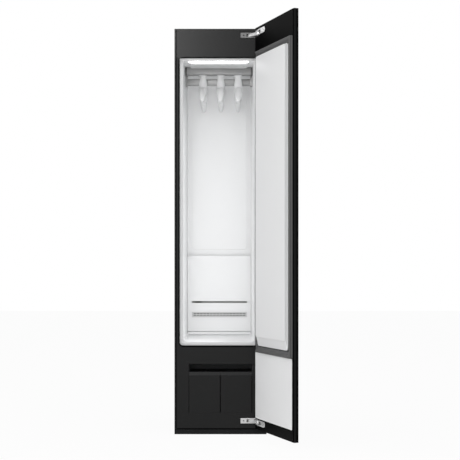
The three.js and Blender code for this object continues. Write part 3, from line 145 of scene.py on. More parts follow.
# A material with its main shader
class Finish(Tree):
    sockets = {"colour": "Base Color", "rough": "Roughness", "metal": "Metallic",
               "specular": "Specular IOR Level", "normal": "Normal", "emission": "Emission Color",
               "emissionStrength": "Emission Strength"}

    def __init__(self, name):
        self.material = bpy.data.materials.new(name)
        self.material.use_nodes = True
        super().__init__(self.material.node_tree)
        self.shader = self.nodes["Principled BSDF"]
        self.output = self.nodes["Material Output"]

    def set(self, **values):
        for name, value in values.items():
            self.put(self.shader.inputs[self.sockets[name]], value)

    def place(self):
        return self.add("ShaderNodeTexCoord", out="Object")

    def noise(self, scale, detail=3, stretch=None):
        place = self.place()
        if stretch:
            place = self.add("ShaderNodeMapping", None, {"Vector": place, "Scale": stretch})
        inputs = {"Vector": place, "Scale": scale, "Detail": detail}
        return self.add("ShaderNodeTexNoise", None, inputs, out="Fac")

    def between(self, factor, first, second):
        inputs = {"Factor": factor, "A": first, "B": second}
        return self.add("ShaderNodeMix", {"data_type": "RGBA"}, inputs, out="Result")

    # From a darker to a lighter grey, each a share of one level with its own warmth
    def mottled(self, factor, level, mix):
        dark, pale = (grey(level * share, warm) for share, warm in (mix["darker"], mix["lighter"]))
        return self.between(factor, dark, pale)

    # The depth is in millimetres
    def bump(self, height, strength, depth):
        inputs = {"Height": height, "Strength": strength, "Distance": depth * mm}
        return self.add("ShaderNodeBump", None, inputs, out="Normal")


# Moulded blacks: each part has its own depth and gloss; the tank bay's inside is lightened far past black as
# painted light in its recess
blacks = {
    "frontPlastic": {"level": 0.0032, "specular": 0.22, "rough": 0.44, "grainScale": 900, "grain": 0.10},
    "fasciaPlastic": {"level": 0.0040, "specular": 0.17, "rough": 0.24, "grainScale": 900, "grain": 0.06},
    "tankPlastic": {"level": 0.0034, "specular": 0.22, "rough": 0.44, "grainScale": 1100, "grain": 0.12},
    "lidPlastic": {"level": 0.0105, "specular": 0.18, "rough": 0.38, "grainScale": 1100, "grain": 0.12},
    # tank bay: painted light, lightened to stand in for the light that its recess does not get
    "insidePaintedLight": {"level": 0.1300, "specular": 0.25, "rough": 0.50, "grainScale": 900, "grain": 0.14},
    "doorPlastic": {"level": 0.0006, "specular": 0.03, "rough": 0.46, "grainScale": 900, "grain": 0.10},
    "plinthPlastic": {"level": 0.0170, "specular": 0.05, "rough": 0.62, "grainScale": 700, "grain": 0.16},
    "seamBlack": {"level": 0.0012, "specular": 0.02, "rough": 0.80, "grainScale": 700, "grain": 0.10},
}
blackMix = {"darker": (0.8, -0.04), "lighter": (1.2, -0.04), "cloudScale": 2.2, "roughGrain": 0.1,
            "grainDepth": 0.3}


def blackPlastic(name):
    values = blacks[name]
    finish = Finish(name)
    cloud = finish.noise(blackMix["cloudScale"])
    grain = finish.noise(values["grainScale"])
    finish.set(colour=finish.mottled(cloud, values["level"], blackMix),
               rough=values["rough"] + grain * blackMix["roughGrain"], specular=values["specular"],
               normal=finish.bump(grain, values["grain"], blackMix["grainDepth"]))
    return finish.material


# Lacquered steel, with a fine orange peel
coats = {
    "blackCoat": {"level": 0.0032, "specular": 0.12}, "trayCoat": {"level": 0.0020, "specular": 0.05},
    # door skin: its front panel's edges are darkened as painted shade
    "doorCoatPaintedShade": {"level": 0.0010, "specular": 0.04}, "doorEdge": {"level": 0.0042, "specular": 0.12},
    "doorFace": {"level": 0.0035, "specular": 0.30},
}
coatMix = {"darker": (0.8, -0.03), "lighter": (1.2, -0.03), "cloudScale": 3, "rough": 0.36,
           "roughCloud": 0.08, "peelScale": 420, "peelDetail": 2, "peel": 0.05, "peelDepth": 0.4}


def blackCoat(name):
    values = coats[name]
    finish = Finish(name)
    cloud = finish.noise(coatMix["cloudScale"])
    peel = finish.noise(coatMix["peelScale"], coatMix["peelDetail"])
    finish.set(colour=finish.mottled(cloud, values["level"], coatMix),
               rough=coatMix["rough"] + cloud * coatMix["roughCloud"], specular=values["specular"],
               normal=finish.bump(peel, coatMix["peel"], coatMix["peelDepth"]))
    return finish.material


whites = {
    "whiteMoulded": {"level": 0.83, "rough": 0.36}, "hangerWhite": {"level": 0.78, "rough": 0.40},
    # the lower door lining's white is lifted over the moulded white: painted light against the shade that falls on
    # it
    "liningWhitePaintedLight": {"level": 0.90, "rough": 0.40},
}
whiteMix = {"darker": (0.975, -0.006), "lighter": (1, -0.004), "cloudScale": 1.6, "roughGrain": 0.08,
            "specular": 0.4, "grainScale": 700, "grainDetail": 2, "grain": 0.06, "grainDepth": 0.2}


def whiteMoulded(name):
    values = whites[name]
    finish = Finish(name)
    cloud = finish.noise(whiteMix["cloudScale"])
    grain = finish.noise(whiteMix["grainScale"], whiteMix["grainDetail"])
    finish.set(colour=finish.mottled(cloud, values["level"], whiteMix),
               rough=values["rough"] + grain * whiteMix["roughGrain"], specular=whiteMix["specular"],
               normal=finish.bump(grain, whiteMix["grain"], whiteMix["grainDepth"]))
    return finish.material


greys = {
    "greyMoulded": {"level": 0.42, "rough": 0.45}, "filterGrey": {"level": 0.62, "rough": 0.50},
    "darkEnd": {"level": 0.13, "rough": 0.40},
}
greyMix = {"darker": (0.93, 0), "lighter": (1.05, 0), "grainScale": 800, "roughGrain": 0.1, "grain": 0.08,
           "grainDepth": 0.3}


def greyMoulded(name):
    values = greys[name]
    finish = Finish(name)
    grain = finish.noise(greyMix["grainScale"])
    finish.set(colour=finish.mottled(grain, values["level"], greyMix),
               rough=values["rough"] + grain * greyMix["roughGrain"],
               normal=finish.bump(grain, greyMix["grain"], greyMix["grainDepth"]))
    return finish.material


# Drawn bar, with fine lines along its length
brushed = {"level": 0.39, "darker": (0.9, 0), "lighter": (1.1, 0), "metal": 0.35, "rough": 0.4,
           "roughLines": 0.16, "lineScale": 90, "lineDetail": 4, "stretch": (0.6, 30, 30), "lines": 0.12,
           "lineDepth": 0.2}


def brushedBar():
    finish = Finish("brushedBar")
    lines = finish.noise(brushed["lineScale"], brushed["lineDetail"], brushed["stretch"])
    finish.set(colour=finish.mottled(lines, brushed["level"], brushed), metal=brushed["metal"],
               rough=brushed["rough"] + lines * brushed["roughLines"],
               normal=finish.bump(lines, brushed["lines"], brushed["lineDepth"]))
    return finish.material


# Plated steel of the hinges and pins: the upper base is darkened as painted shade, and the upper link and door
# plate are lightened as painted highlight
platings = {
    "plated": {"level": 0.80, "rough": 0.30, "metal": 0.60},
    "platedPaintedHighlight": {"level": 0.95, "rough": 0.28, "metal": 0.40},
    "platedBase": {"level": 0.60, "rough": 0.30, "metal": 0.75},
    "platedPaintedShade": {"level": 0.12, "rough": 0.40, "metal": 0.60},
    "pinSteel": {"level": 0.50, "rough": 0.30, "metal": 0.75},
}
platingMix = {"darker": (0.9, 0), "lighter": (1, 0), "cloudScale": 60, "roughScratch": 0.14,
              "scratchScale": 300, "stretch": (1, 1, 8), "scratch": 0.05, "scratchDepth": 0.2}


def plated(name):
    values = platings[name]
    finish = Finish(name)
    cloud = finish.noise(platingMix["cloudScale"])
    scratch = finish.noise(platingMix["scratchScale"], stretch=platingMix["stretch"])
    finish.set(colour=finish.mottled(cloud, values["level"], platingMix), metal=values["metal"],
               rough=values["rough"] + scratch * platingMix["roughScratch"],
               normal=finish.bump(scratch, platingMix["scratch"], platingMix["scratchDepth"]))
    return finish.material


seal = {"level": 0.095, "darker": (0.88, 0), "lighter": (1.12, 0), "cloudScale": 40, "rough": 0.6,
        "roughCloud": 0.1, "specular": 0.3, "bump": 0.1, "bumpDepth": 0.4}


def sealRubber():
    finish = Finish("sealRubber")
    cloud = finish.noise(seal["cloudScale"])
    finish.set(colour=finish.mottled(cloud, seal["level"], seal), specular=seal["specular"],
               rough=seal["rough"] + cloud * seal["roughCloud"],
               normal=finish.bump(cloud, seal["bump"], seal["bumpDepth"]))
    return finish.material


footPad = {"level": 0.02, "darker": (1, 0), "lighter": (1.75, 0), "cloudScale": 120, "rough": 0.75,
           "bump": 0.2, "bumpDepth": 0.4}


def footRubber():
    finish = Finish("footRubber")
    cloud = finish.noise(footPad["cloudScale"])
    finish.set(colour=finish.mottled(cloud, footPad["level"], footPad), rough=footPad["rough"],
               normal=finish.bump(cloud, footPad["bump"], footPad["bumpDepth"]))
    return finish.material


zinc = {"level": 0.4, "darker": (0.85, 0), "lighter": (1.15, 0), "flakeScale": 55, "metal": 0.8,
        "rough": 0.38, "roughFlake": 0.14}


def galvanised():
    finish = Finish("galvanised")
    inputs = {"Vector": finish.place(), "Scale": zinc["flakeScale"]}
    flakes = finish.add("ShaderNodeTexVoronoi", None, inputs, out="Color")
    shade = finish.add("ShaderNodeSeparateColor", None, {"Color": flakes}, out="Red")
    finish.set(colour=finish.mottled(shade, zinc["level"], zinc), metal=zinc["metal"],
               rough=zinc["rough"] + shade * zinc["roughFlake"])
    return finish.material


cast = {"level": 0.5, "darker": (0.84, 0), "lighter": (1.16, 0), "grainScale": 220, "grainDetail": 4,
        "metal": 0.9, "rough": 0.42, "roughGrain": 0.15, "grain": 0.2, "grainDepth": 0.5}


def castAluminium():
    finish = Finish("castAluminium")
    grain = finish.noise(cast["grainScale"], cast["grainDetail"])
    finish.set(colour=finish.mottled(grain, cast["level"], cast), metal=cast["metal"],
               rough=cast["rough"] + grain * cast["roughGrain"],
               normal=finish.bump(grain, cast["grain"], cast["grainDepth"]))
    return finish.material


opal = {"level": 1, "darker": (0.86, 0), "lighter": (0.9, 0), "cloudScale": 4, "cloudDetail": 2, "rough": 0.3,
        "glow": 1.0, "strength": 4.0}


def opalLamp():
    finish = Finish("opalLamp")
    cloud = finish.noise(opal["cloudScale"], opal["cloudDetail"])
    finish.set(colour=finish.mottled(cloud, opal["level"], opal), rough=opal["rough"],
               emission=grey(opal["glow"]), emissionStrength=opal["strength"])
    return finish.material


board = {"dark": (0.01, 0.07, 0.03, 1), "pale": (0.03, 0.14, 0.06, 1), "trackScale": 140, "trackDetail": 4,
         "rough": 0.4}


def boardGreen():
    finish = Finish("boardGreen")
    tracks = finish.noise(board["trackScale"], board["trackDetail"])
    finish.set(colour=finish.between(tracks, board["dark"], board["pale"]), rough=board["rough"])
    return finish.material


# The finish of each material slot
finishes = {
    "black_steel": blackCoat("blackCoat"), "black_plastic": blackPlastic("frontPlastic"),
    "smoked_plastic": blackPlastic("tankPlastic"), "white_plastic": whiteMoulded("whiteMoulded"),
    "hanger_white": whiteMoulded("hangerWhite"), "grey_plastic": greyMoulded("greyMoulded"),
    "hinge_chrome": plated("plated"), "pin_steel": plated("pinSteel"), "bar_grey": brushedBar(),
    "zinc_steel": galvanised(), "boiler_aluminium": castAluminium(), "lamp_white": opalLamp(),
    "seal_rubber": sealRubber(), "foot_rubber": footRubber(), "board_green": boardGreen(),
}
lidFinish = blackPlastic("lidPlastic")
# Plating lightened as painted highlight, for the upper hinge link and door plate
paintedHighlightPlating = plated("platedPaintedHighlight")
# Parts whose finish differs from their slot's
special = {
    # the tank bay's finish carries painted light in its recess
    "head_fascia": blackPlastic("fasciaPlastic"), "tank_bay": blackPlastic("insidePaintedLight"),
    "door_frame": blackPlastic("doorPlastic"), "plinth": blackPlastic("plinthPlastic"),
    "supply_tank_lid": lidFinish, "drain_tank_lid": lidFinish,
    # the door skin's front panel edges carry painted shade
    "door_skin": blackCoat("doorCoatPaintedShade"), "base_tray": blackCoat("trayCoat"),
    # the lower door lining's lighter white is painted light
    "door_lower_lining": whiteMoulded("liningWhitePaintedLight"), "lint_filter": greyMoulded("filterGrey"),
    # the upper hinge base carries painted shade, the upper link and door plate a painted highlight
    "hinge_base_lower": plated("platedBase"), "hinge_base_upper": plated("platedPaintedShade"),
    "hinge_link_upper": paintedHighlightPlating, "hinge_plate_upper": paintedHighlightPlating,
}
print("finishes made")

slotOf = {part["node"]: part["material_slot"] for part in frame["record"]["subparts"]}
bodyOf = {node: body for body, nodes in frame["record"]["behaviour"]["bodies"].items() for node in nodes}


def finishOf(node):
    return special.get(node) or finishes[slotOf[node]]


for node, part in frame["nodes"].items():
    for slot in part.material_slots:
        slot.material = finishOf(node)


# The door is described closed, its pin at a known place, and carried to its open place by that pin
doorPlace = {"turn": 111, "pinAcross": 203.8, "pinBehind": -38}
pinOpen = Vector(next(joint["pos_m"] for joint in frame["joints"] if joint["name"] == "door_turn"))
opened = (Matrix.Translation((pinOpen.x, pinOpen.y, 0))
          @ Matrix.Rotation(math.radians(doorPlace["turn"]), 4, "Z")
          @ Matrix.Translation((-doorPlace["pinAcross"] * mm, -doorPlace["pinBehind"] * mm, 0)))
closing = opened.inverted()
doorInside = (opened.to_3x3() @ Vector((0, 1, 0))).normalized()  # the way that the open door's inside faces


# Lowest and highest corner of a door part as it lies with the door closed
def closedBox(node):
    points = [closing @ vertex.co for vertex in frame["nodes"][node].data.vertices]
    return [Vector(pick(point[axis] for point in points) for axis in range(3)) for pick in (min, max)]


# A copy of a part's mesh, with merged corners and flat faces joined, ready for rounding
joinUp = {"merge": 0.02, "flatAngle": 0.6}


def copied(node, name):
    mesh = frame["nodes"][node].data.copy()
    mesh.materials.clear()
    shape = bmesh.new()
    shape.from_mesh(mesh)
    bmesh.ops.remove_doubles(shape, verts=shape.verts, dist=joinUp["merge"] * mm)
    bmesh.ops.dissolve_limit(shape, angle_limit=math.radians(joinUp["flatAngle"]), verts=shape.verts,
                             edges=shape.edges)
    shape.to_mesh(mesh)
    shape.free()
    piece = bpy.data.objects.new(name, mesh)
    scene.collection.objects.link(piece)
    return piece


def fresh(name, shape, place=None):
    bmesh.ops.recalc_face_normals(shape, faces=shape.faces)
    mesh = bpy.data.meshes.new(name)
    shape.to_mesh(mesh)
    shape.free()
    if place:
        mesh.transform(place)
    piece = bpy.data.objects.new(name, mesh)
    scene.collection.objects.link(piece)
    return piece


# A piece takes a part's body, and its finish unless another is given
def finishAs(piece, node, material=None):
    piece.data.materials.clear()
    piece.data.materials.append(material or finishOf(node))
    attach(piece, bodyOf[node])


def standIn(piece, node):
    finishAs(piece, node)
    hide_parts(node)


# Twin of a part, which takes its place: the same solid, ready for finer form
def twin(node):
    piece = copied(node, node + "_dressed")
    standIn(piece, node)
    return piece


def smooth(piece, angle):
    for face in piece.data.polygons:
        face.use_smooth = True
    piece.data.set_sharp_from_angle(angle=math.radians(angle))


# Broken edges, on flat faces or on curved ones that are shaded smooth
edges = {"segments": 2, "angle": 32}


def breakEdges(piece, width, segments=edges["segments"], angle=edges["angle"], curved=False):
    bevel = piece.modifiers.new("edges", "BEVEL")
    bevel.width = width * mm
    bevel.segments = segments
    bevel.limit_method = "ANGLE"
    bevel.angle_limit = math.radians(angle)
    bevel.use_clamp_overlap = True
    bevel.harden_normals = curved
    for face in piece.data.polygons:
        face.use_smooth = curved


# Points of a rectangle with round corners, across and up, at one depth
def cornered(x, z, radius, depth=0, steps=8):
    points = []
    centres = ((x[1] - radius, z[1] - radius), (x[0] + radius, z[1] - radius), (x[0] + radius, z[0] + radius),
               (x[1] - radius, z[0] + radius))
    for corner, (across, up) in enumerate(centres):
        for step in range(steps + 1):
            angle = math.radians(90 * (corner + step / steps))
            points.append((across + radius * math.cos(angle), depth, up + radius * math.sin(angle)))
    return points


# Skin over loops of equally many points; closed joins the last loop to the first
def skinned(loops, closed=False, caps=False):
    shape = bmesh.new()
    rows = [[shape.verts.new(point) for point in loop] for loop in loops]
    pairs = list(zip(rows, rows[1:])) + ([(rows[-1], rows[0])] if closed else [])
    for first, second in pairs:
        for i in range(len(first)):
            j = (i + 1) % len(first)
            shape.faces.new((first[i], first[j], second[j], second[i]))
    if caps:
        shape.faces.new(rows[0])
        shape.faces.new(list(reversed(rows[-1])))
    return shape


# Turned shape about +Z from radius and height pairs
def turned(profile, steps):
    angles = [2 * math.pi * i / steps for i in range(steps)]
    loops = [[(radius * math.cos(angle), radius * math.sin(angle), height) for angle in angles]
             for radius, height in profile]
    return skinned(loops, caps=True)


def applyModifiers(piece):
    graph = bpy.context.evaluated_depsgraph_get()
    mesh = bpy.data.meshes.new_from_object(piece.evaluated_get(graph))
    piece.modifiers.clear()
    piece.data = mesh


# Stretch across the cabinet about a place that stays
def widened(still, stretch):
    return (Matrix.Translation((still, 0, 0)) @ Matrix.Diagonal((stretch, 1, 1, 1))
            @ Matrix.Translation((-still, 0, 0)))


# Cuts a shape out of a piece; tinted leaves the shape's own finish on the cut
def subtract(piece, tool, tinted=False):
    cutter = piece.modifiers.new("cut", "BOOLEAN")
    cutter.object = tool
    cutter.operation = "DIFFERENCE"
    cutter.solver = "EXACT"
    cutter.material_mode = "TRANSFER" if tinted else "INDEX"
    applyModifiers(piece)
    bpy.data.objects.remove(tool)


def boxed(name, low, high):
    low, high = (Vector([pick(pair) for pair in zip(low, high)]) for pick in (min, max))
    shape = bmesh.new()
    bmesh.ops.create_cube(shape, size=1)
    bmesh.ops.scale(shape, vec=high - low, verts=shape.verts)
    bmesh.ops.translate(shape, vec=(low + high) / 2, verts=shape.verts)
    return fresh(name, shape)


# Casing, frames and machine parts: the same solids with broken edges
edgeWidths = {
    "side_panel_left": 0.5, "side_panel_right": 0.5, "top_panel": 0.7, "back_panel": 0.4, "base_tray": 0.4,
    "plinth": 0.5, "cavity_back": 0.8, "steam_outlet": 0.4, "lint_filter": 0.5, "lamp_lens": 1.0,
    "rail_bracket_left": 1.2, "rail_bracket_right": 1.2, "tank_bay": 0.4, "supply_tank": 0.3,
    "drain_tank": 0.3, "supply_tank_lid": 0.5, "drain_tank_lid": 0.5, "hinge_base_lower": 0.4,
    "hinge_base_upper": 0.4, "hinge_link_lower": 1.0, "hinge_link_upper": 1.0, "hinge_plate_lower": 0.5,
    "hinge_plate_upper": 0.5, "door_frame": 0.7, "door_lower_lining": 0.7, "power_inlet": 0.6,
    "control_box": 0.6, "air_riser": 0.5, "water_pump": 0.8,
}
curvedParts = ("hinge_link_lower", "hinge_link_upper", "hinge_plate_lower", "hinge_plate_upper", "water_pump",
               "power_inlet")
twins = {}
for node, width in edgeWidths.items():
    twins[node] = twin(node)
    breakEdges(twins[node], width, curved=node in curvedParts)


# Tanks and lids grow towards each other over most of the gap that the solids keep
tankFit = {"grow": 0.4}


def closeUp(node):
    low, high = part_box(node)
    outer = max(low.x, high.x, key=abs)
    stretch = 1 + tankFit["grow"] * mm / (high.x - low.x)
    twins[node].data.transform(widened(outer, stretch))


for node in ("supply_tank", "drain_tank", "supply_tank_lid", "drain_tank_lid"):
    closeUp(node)


# Hinge base plates: squeezed above and below, where the cut in the front leaves a dark line
basePlate = {"from": 10.6, "keepShare": 0.48}


def squeezePlate(node):
    low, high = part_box(node)
    middle = (low.z + high.z) / 2
    for vertex in twins[node].data.vertices:
        reach = abs(vertex.co.z - middle) - basePlate["from"] * mm
        if reach > 0:
            vertex.co.z -= math.copysign(reach * (1 - basePlate["keepShare"]), vertex.co.z - middle)


for node in ("hinge_base_lower", "hinge_base_upper"):
    squeezePlate(node)


# These parts keep their solids' form, shaded smooth up to an angle
smoothParts = {
    "angle": 40,
    "nodes": ("ceiling_cover", "compressor", "steam_generator", "heat_exchanger", "fan_housing", "fan_wheel",
              "fan_motor", "control_board", "foot_front_left", "foot_front_right", "foot_rear_left",
              "foot_rear_right", "cabinet_pin_lower", "cabinet_pin_upper", "door_pin_lower",
              "door_pin_upper"),
}
for node in smoothParts["nodes"]:
    smooth(twin(node), smoothParts["angle"])
print("casing and machine parts dressed")


# Front: dark seam round the cavity mouth, and one where each side panel's fold meets the front
seam = {"depth": 1.5, "side": (7.3, 10.3), "linerHidden": 8, "mouthSide": 5.5, "mouthFoot": 7.0,
        "mouthTop": 4.6, "corner": 24, "cornerSteps": 10, "edge": 0.8}
seamFinish = blackPlastic("seamBlack")


def mouthSeam(front, back):
    low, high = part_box("cavity_liner")
    side, foot, top = ((seam["linerHidden"] - seam[run]) * mm
                       for run in ("mouthSide", "mouthFoot", "mouthTop"))
    loops = [cornered((low.x + side, high.x - side), (low.z + foot, high.z - top), seam["corner"] * mm, depth,
                      seam["cornerSteps"]) for depth in (front, back)]
    return fresh("mouthSeam", skinned(loops, caps=True))


# A seam that lies inward from a side panel's outer face
def sideSeam(edge, inward, front, back):
    near, far = (edge + inward * reach * mm for reach in seam["side"])
    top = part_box("head_fascia")[1].z + overrun
    return boxed("sideSeam", (near, front, -overrun), (far, back, top))


def makeFront():
    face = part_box("front_frame")[0].y
    cut = (face - overrun, face + seam["depth"] * mm)
    left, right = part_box("side_panel_left")[0].x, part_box("side_panel_right")[1].x
    for node in ("front_frame", "head_fascia"):
        piece = twin(node)
        for tool in (mouthSeam(*cut), sideSeam(left, 1, *cut), sideSeam(right, -1, *cut)):
            tool.data.materials.append(seamFinish)
            subtract(piece, tool, tinted=True)
        breakEdges(piece, seam["edge"])


makeFront()
print("front dressed")


# Cavity liner: broken lip edge and soft corners
cavity = {"edge": 1.2, "segments": 3, "angle": 40}


def makeLiner():
    breakEdges(twin("cavity_liner"), cavity["edge"], cavity["segments"], cavity["angle"], curved=True)


# Lower back cover: it reaches the liner's walls, over a foot strip that runs down to the floor
cover = {"edge": 0.8, "footHeight": 12.5, "line": 2.4, "wider": 2.6, "floorGap": 2.5, "footBack": 0.8,
         "topBand": 40, "topLower": 6.6}


def makeBackCover():
    low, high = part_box("lower_back_cover")
    footTop = low.z + cover["footHeight"] * mm
    wider = cover["wider"] * mm
    piece = twin("lower_back_cover")
    subtract(piece, boxed("foot", (low.x - overrun, low.y - overrun, low.z - overrun),
                          (high.x + overrun, high.y + overrun, footTop + cover["line"] * mm)))
    for vertex in piece.data.vertices:
        if vertex.co.z > high.z - cover["topBand"] * mm:
            vertex.co.z -= cover["topLower"] * mm
    middle = (low.x + high.x) / 2
    stretch = 1 + 2 * wider / (high.x - low.x)
    piece.data.transform(widened(middle, stretch))
    breakEdges(piece, cover["edge"])
    footLow = (low.x - wider, low.y + cover["footBack"] * mm, low.z - cover["floorGap"] * mm)
    foot = boxed("lower_back_cover_foot", footLow, (high.x + wider, high.y, footTop))
    breakEdges(foot, cover["edge"])
    finishAs(foot, "lower_back_cover")


# Air hangers: one smooth blown form, shared by the three
hangers = {"voxel": 1.7, "rounds": 6}


def blownForm(node):
    piece = copied(node, "blown")
    remesh = piece.modifiers.new("remesh", "REMESH")
    remesh.mode = "VOXEL"
    remesh.voxel_size = hangers["voxel"] * mm
    soften = piece.modifiers.new("soften", "SMOOTH")
    soften.iterations = hangers["rounds"]
    applyModifiers(piece)
    mesh = piece.data
    bpy.data.objects.remove(piece)
    for face in mesh.polygons:
        face.use_smooth = True
    return mesh


def makeHangers():
    nodes = ("air_hanger_left", "air_hanger_middle", "air_hanger_right")
    middles = [sum(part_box(node), Vector()) / 2 for node in nodes]
    form = blownForm(nodes[0])
    for node, middle in zip(nodes, middles):
        piece = bpy.data.objects.new(node + "_dressed", form)
        piece.location = middle - middles[0]
        scene.collection.objects.link(piece)
        standIn(piece, node)


# Duct bar and hanger rail: drawn profiles, with fine grooves along their fronts
groove = {"height": 2.2, "depth": 1.6, "edge": 1.0}
grooveDrops = {"duct_bar": (6.5,), "hanger_rail": (6.5, 30)}


def makeBars():
    half = groove["height"] * mm / 2
    for node, drops in grooveDrops.items():
        low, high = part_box(node)
        piece = twin(node)
        for drop in drops:
            middle = high.z - drop * mm
            subtract(piece, boxed("groove", (low.x - overrun, low.y - overrun, middle - half),
                                  (high.x + overrun, low.y + groove["depth"] * mm, middle + half)))
        breakEdges(piece, groove["edge"], curved=True)


# Dark end caps of the air duct bar
ductEnd = {"length": 9, "proud": 0.8, "corner": 7, "inset": 0.3, "soft": 1.2, "angle": 40}
ductEndFinish = greyMoulded("darkEnd")


def makeDuctEnds():
    low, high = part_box("duct_bar")
    length, soft, inset, proud = (ductEnd[size] * mm for size in ("length", "soft", "inset", "proud"))
    y = (low.y - proud, high.y - inset)
    z = (low.z - proud, high.z - inset)
    for side, start in (("left", low.x + inset), ("right", high.x - inset - length)):
        loops = []
        for across, grow in ((0, -soft), (soft, 0), (length - soft, 0), (length, -soft)):
            ring = cornered((y[0] - grow, y[1] + grow), (z[0] - grow, z[1] + grow), ductEnd["corner"] * mm)
            loops.append([(start + across, point[0], point[2]) for point in ring])
        piece = fresh("duct_end_" + side, skinned(loops, caps=True))
        finishAs(piece, "duct_bar", ductEndFinish)
        smooth(piece, ductEnd["angle"])


makeLiner()
makeBackCover()
makeHangers()
makeBars()
makeDuctEnds()
print("cavity dressed")


# Door gasket: free, it stands higher than the space left when the door is shut.
# Its profile is how far out from its solid's inner edge, and how high; the hinge side is lower by a share
gasket = {
    "width": 18, "sunk": 0.3, "corner": 3, "cornerGrow": 0.1, "shutHeight": 7.4, "topLower": 6,
    "footLower": 2, "hingeShare": 0.5, "angle": 50,
    "profile": ((-6, 0.4), (-10.5, 2), (-11.5, 3.6), (-10.5, 4.8), (-4, 6), (0.4, 8), (1.2, 12.8), (2.8, 14),
                (15.2, 14), (16.8, 13.2), (17.4, 11.8), (14.8, 9.6), (14.6, 8.4), (17.4, 6.4), (18, 5),
                (17.7, 0.4)),
}


def makeGasket():
    low, high = closedBox("door_gasket")
    loops = []
    for out, rise in gasket["profile"]:
        grow = (out - gasket["width"]) * mm
        x = (low.x - grow, high.x + grow)
        z = (low.z - grow - gasket["footLower"] * mm, high.z + grow - gasket["topLower"] * mm)
        radius = (gasket["corner"] + gasket["cornerGrow"] * out) * mm
        loop = []
        for across, depth, up in cornered(x, z, radius):
            hingeSide = max(0, 1 - (x[1] - across) / radius)
            share = 1 - hingeSide * (1 - gasket["hingeShare"])
            loop.append((across, low.y + (rise * share - gasket["sunk"]) * mm, up))
        loops.append(loop)
    piece = fresh("door_gasket_dressed", skinned(loops, closed=True), opened)
    standIn(piece, "door_gasket")
    smooth(piece, gasket["angle"])
    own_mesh(piece)


# Upper lining: a shallow tray with soft walls, steeper at the hinge and long at the foot
lining = {"freeSlope": 1.5, "hingeSlope": 4, "topSlope": 2, "footSlope": 38, "corner": 14, "cornerSteps": 10,
          "soft": 3.4, "steps": 5, "lip": 2.4, "lipHeight": 6, "lipSoft": 0.6, "wall": 2, "angle": 50}


# Heights and insets of the tray's loops: its lip, the foot of its wall and the soft edge round its face
def liningLevels(wallTop):
    lip, lipTop, lipSoft, soft = (lining[size] * mm for size in ("lip", "lipHeight", "lipSoft", "soft"))
    levels = [(0, -lip), (lipTop - lipSoft, -lip), (lipTop, lipSoft - lip), (lipTop, 0), (wallTop, 0)]
    for step in range(1, lining["steps"] + 1):
        angle = math.radians(90 * step / lining["steps"])
        levels.append((wallTop + soft * math.sin(angle), soft * (1 - math.cos(angle))))
    return levels


def makeUpperLining():
    low, high = closedBox("door_upper_lining")
    wallTop = high.y - low.y - lining["soft"] * mm
    lipTop = lining["lipHeight"] * mm
    loops = []
    for height, inset in liningLevels(wallTop):
        share = max(0, min(height, wallTop) - lipTop) / (wallTop - lipTop)
        free, hinge, foot, top = (lining[slope] * mm * share + inset
                                  for slope in ("freeSlope", "hingeSlope", "footSlope", "topSlope"))
        loops.append(cornered((low.x + free, high.x - hinge), (low.z + foot, high.z - top),
                              lining["corner"] * mm - inset, low.y + height, lining["cornerSteps"]))
    shape = skinned(loops)
    shape.verts.ensure_lookup_table()
    shape.faces.new(shape.verts[-len(loops[-1]):])
    piece = fresh("door_upper_lining_dressed", shape, opened)
    standIn(piece, "door_upper_lining")
    smooth(piece, lining["angle"])
    thick = piece.modifiers.new("wall", "SOLIDIFY")
    thick.thickness = lining["wall"] * mm
    thick.offset = -1


# Outer skin: the front panel's edges carry painted shade, darker than the rim behind them, and its outer face is
# glossier
skin = {"panel": 13, "edge": 0.7, "facing": 0.9}
skinFinishes = {"rim": blackCoat("doorEdge"), "face": blackCoat("doorFace")}


def makeSkin():
    piece = twin("door_skin")
    piece.data.materials.append(skinFinishes["rim"])
    piece.data.materials.append(skinFinishes["face"])
    low, high = closedBox("door_skin")
    split = opened @ Vector((low.x, low.y + skin["panel"] * mm, low.z))
    shape = bmesh.new()
    shape.from_mesh(piece.data)
    everything = shape.verts[:] + shape.edges[:] + shape.faces[:]
    bmesh.ops.bisect_plane(shape, geom=everything, plane_co=split, plane_no=doorInside)
    shape.normal_update()
    for face in shape.faces:
        onRim = (face.calc_center_median() - split).dot(doorInside) > 0
        onFace = not onRim and face.normal.dot(doorInside) < -skin["facing"]
        face.material_index = 2 if onFace else int(onRim)
    shape.to_mesh(piece.data)
    shape.free()
    breakEdges(piece, skin["edge"])


makeGasket()
makeUpperLining()
makeSkin()
print("door dressed")


# Cross-recessed screws in the back panel's rim. A head's height, and the reach and half width of its cross,
# are shares of its radius; the top of its straight rim and the floor of its cross are shares of its height
screw = {"radius": 3.6, "fromEdge": 6, "rows": 8, "turn": 37, "heightShare": 0.544, "reachShare": 0.5,
         "halfShare": 0.13, "rimShare": 0.35, "floorShare": 0.3, "domeAngles": (25, 50, 72), "steps": 28,
         "angle": 30}


def screwHead():
    radius = screw["radius"] * mm
    height = radius * screw["heightShare"]
    rim = height * screw["rimShare"]
    profile = [(radius, 0), (radius, rim)]
    for angle in map(math.radians, screw["domeAngles"]):
        profile.append((radius * math.cos(angle), rim + (height - rim) * math.sin(angle)))
    head = fresh("screw", turned(profile, screw["steps"]))
    arm, half = radius * screw["reachShare"], radius * screw["halfShare"]
    for x, y in ((arm, half), (half, arm)):
        subtract(head, boxed("cross", (-x, -y, height * screw["floorShare"]), (x, y, height + overrun)))
    mesh = head.data
    bpy.data.objects.remove(head)
    return mesh


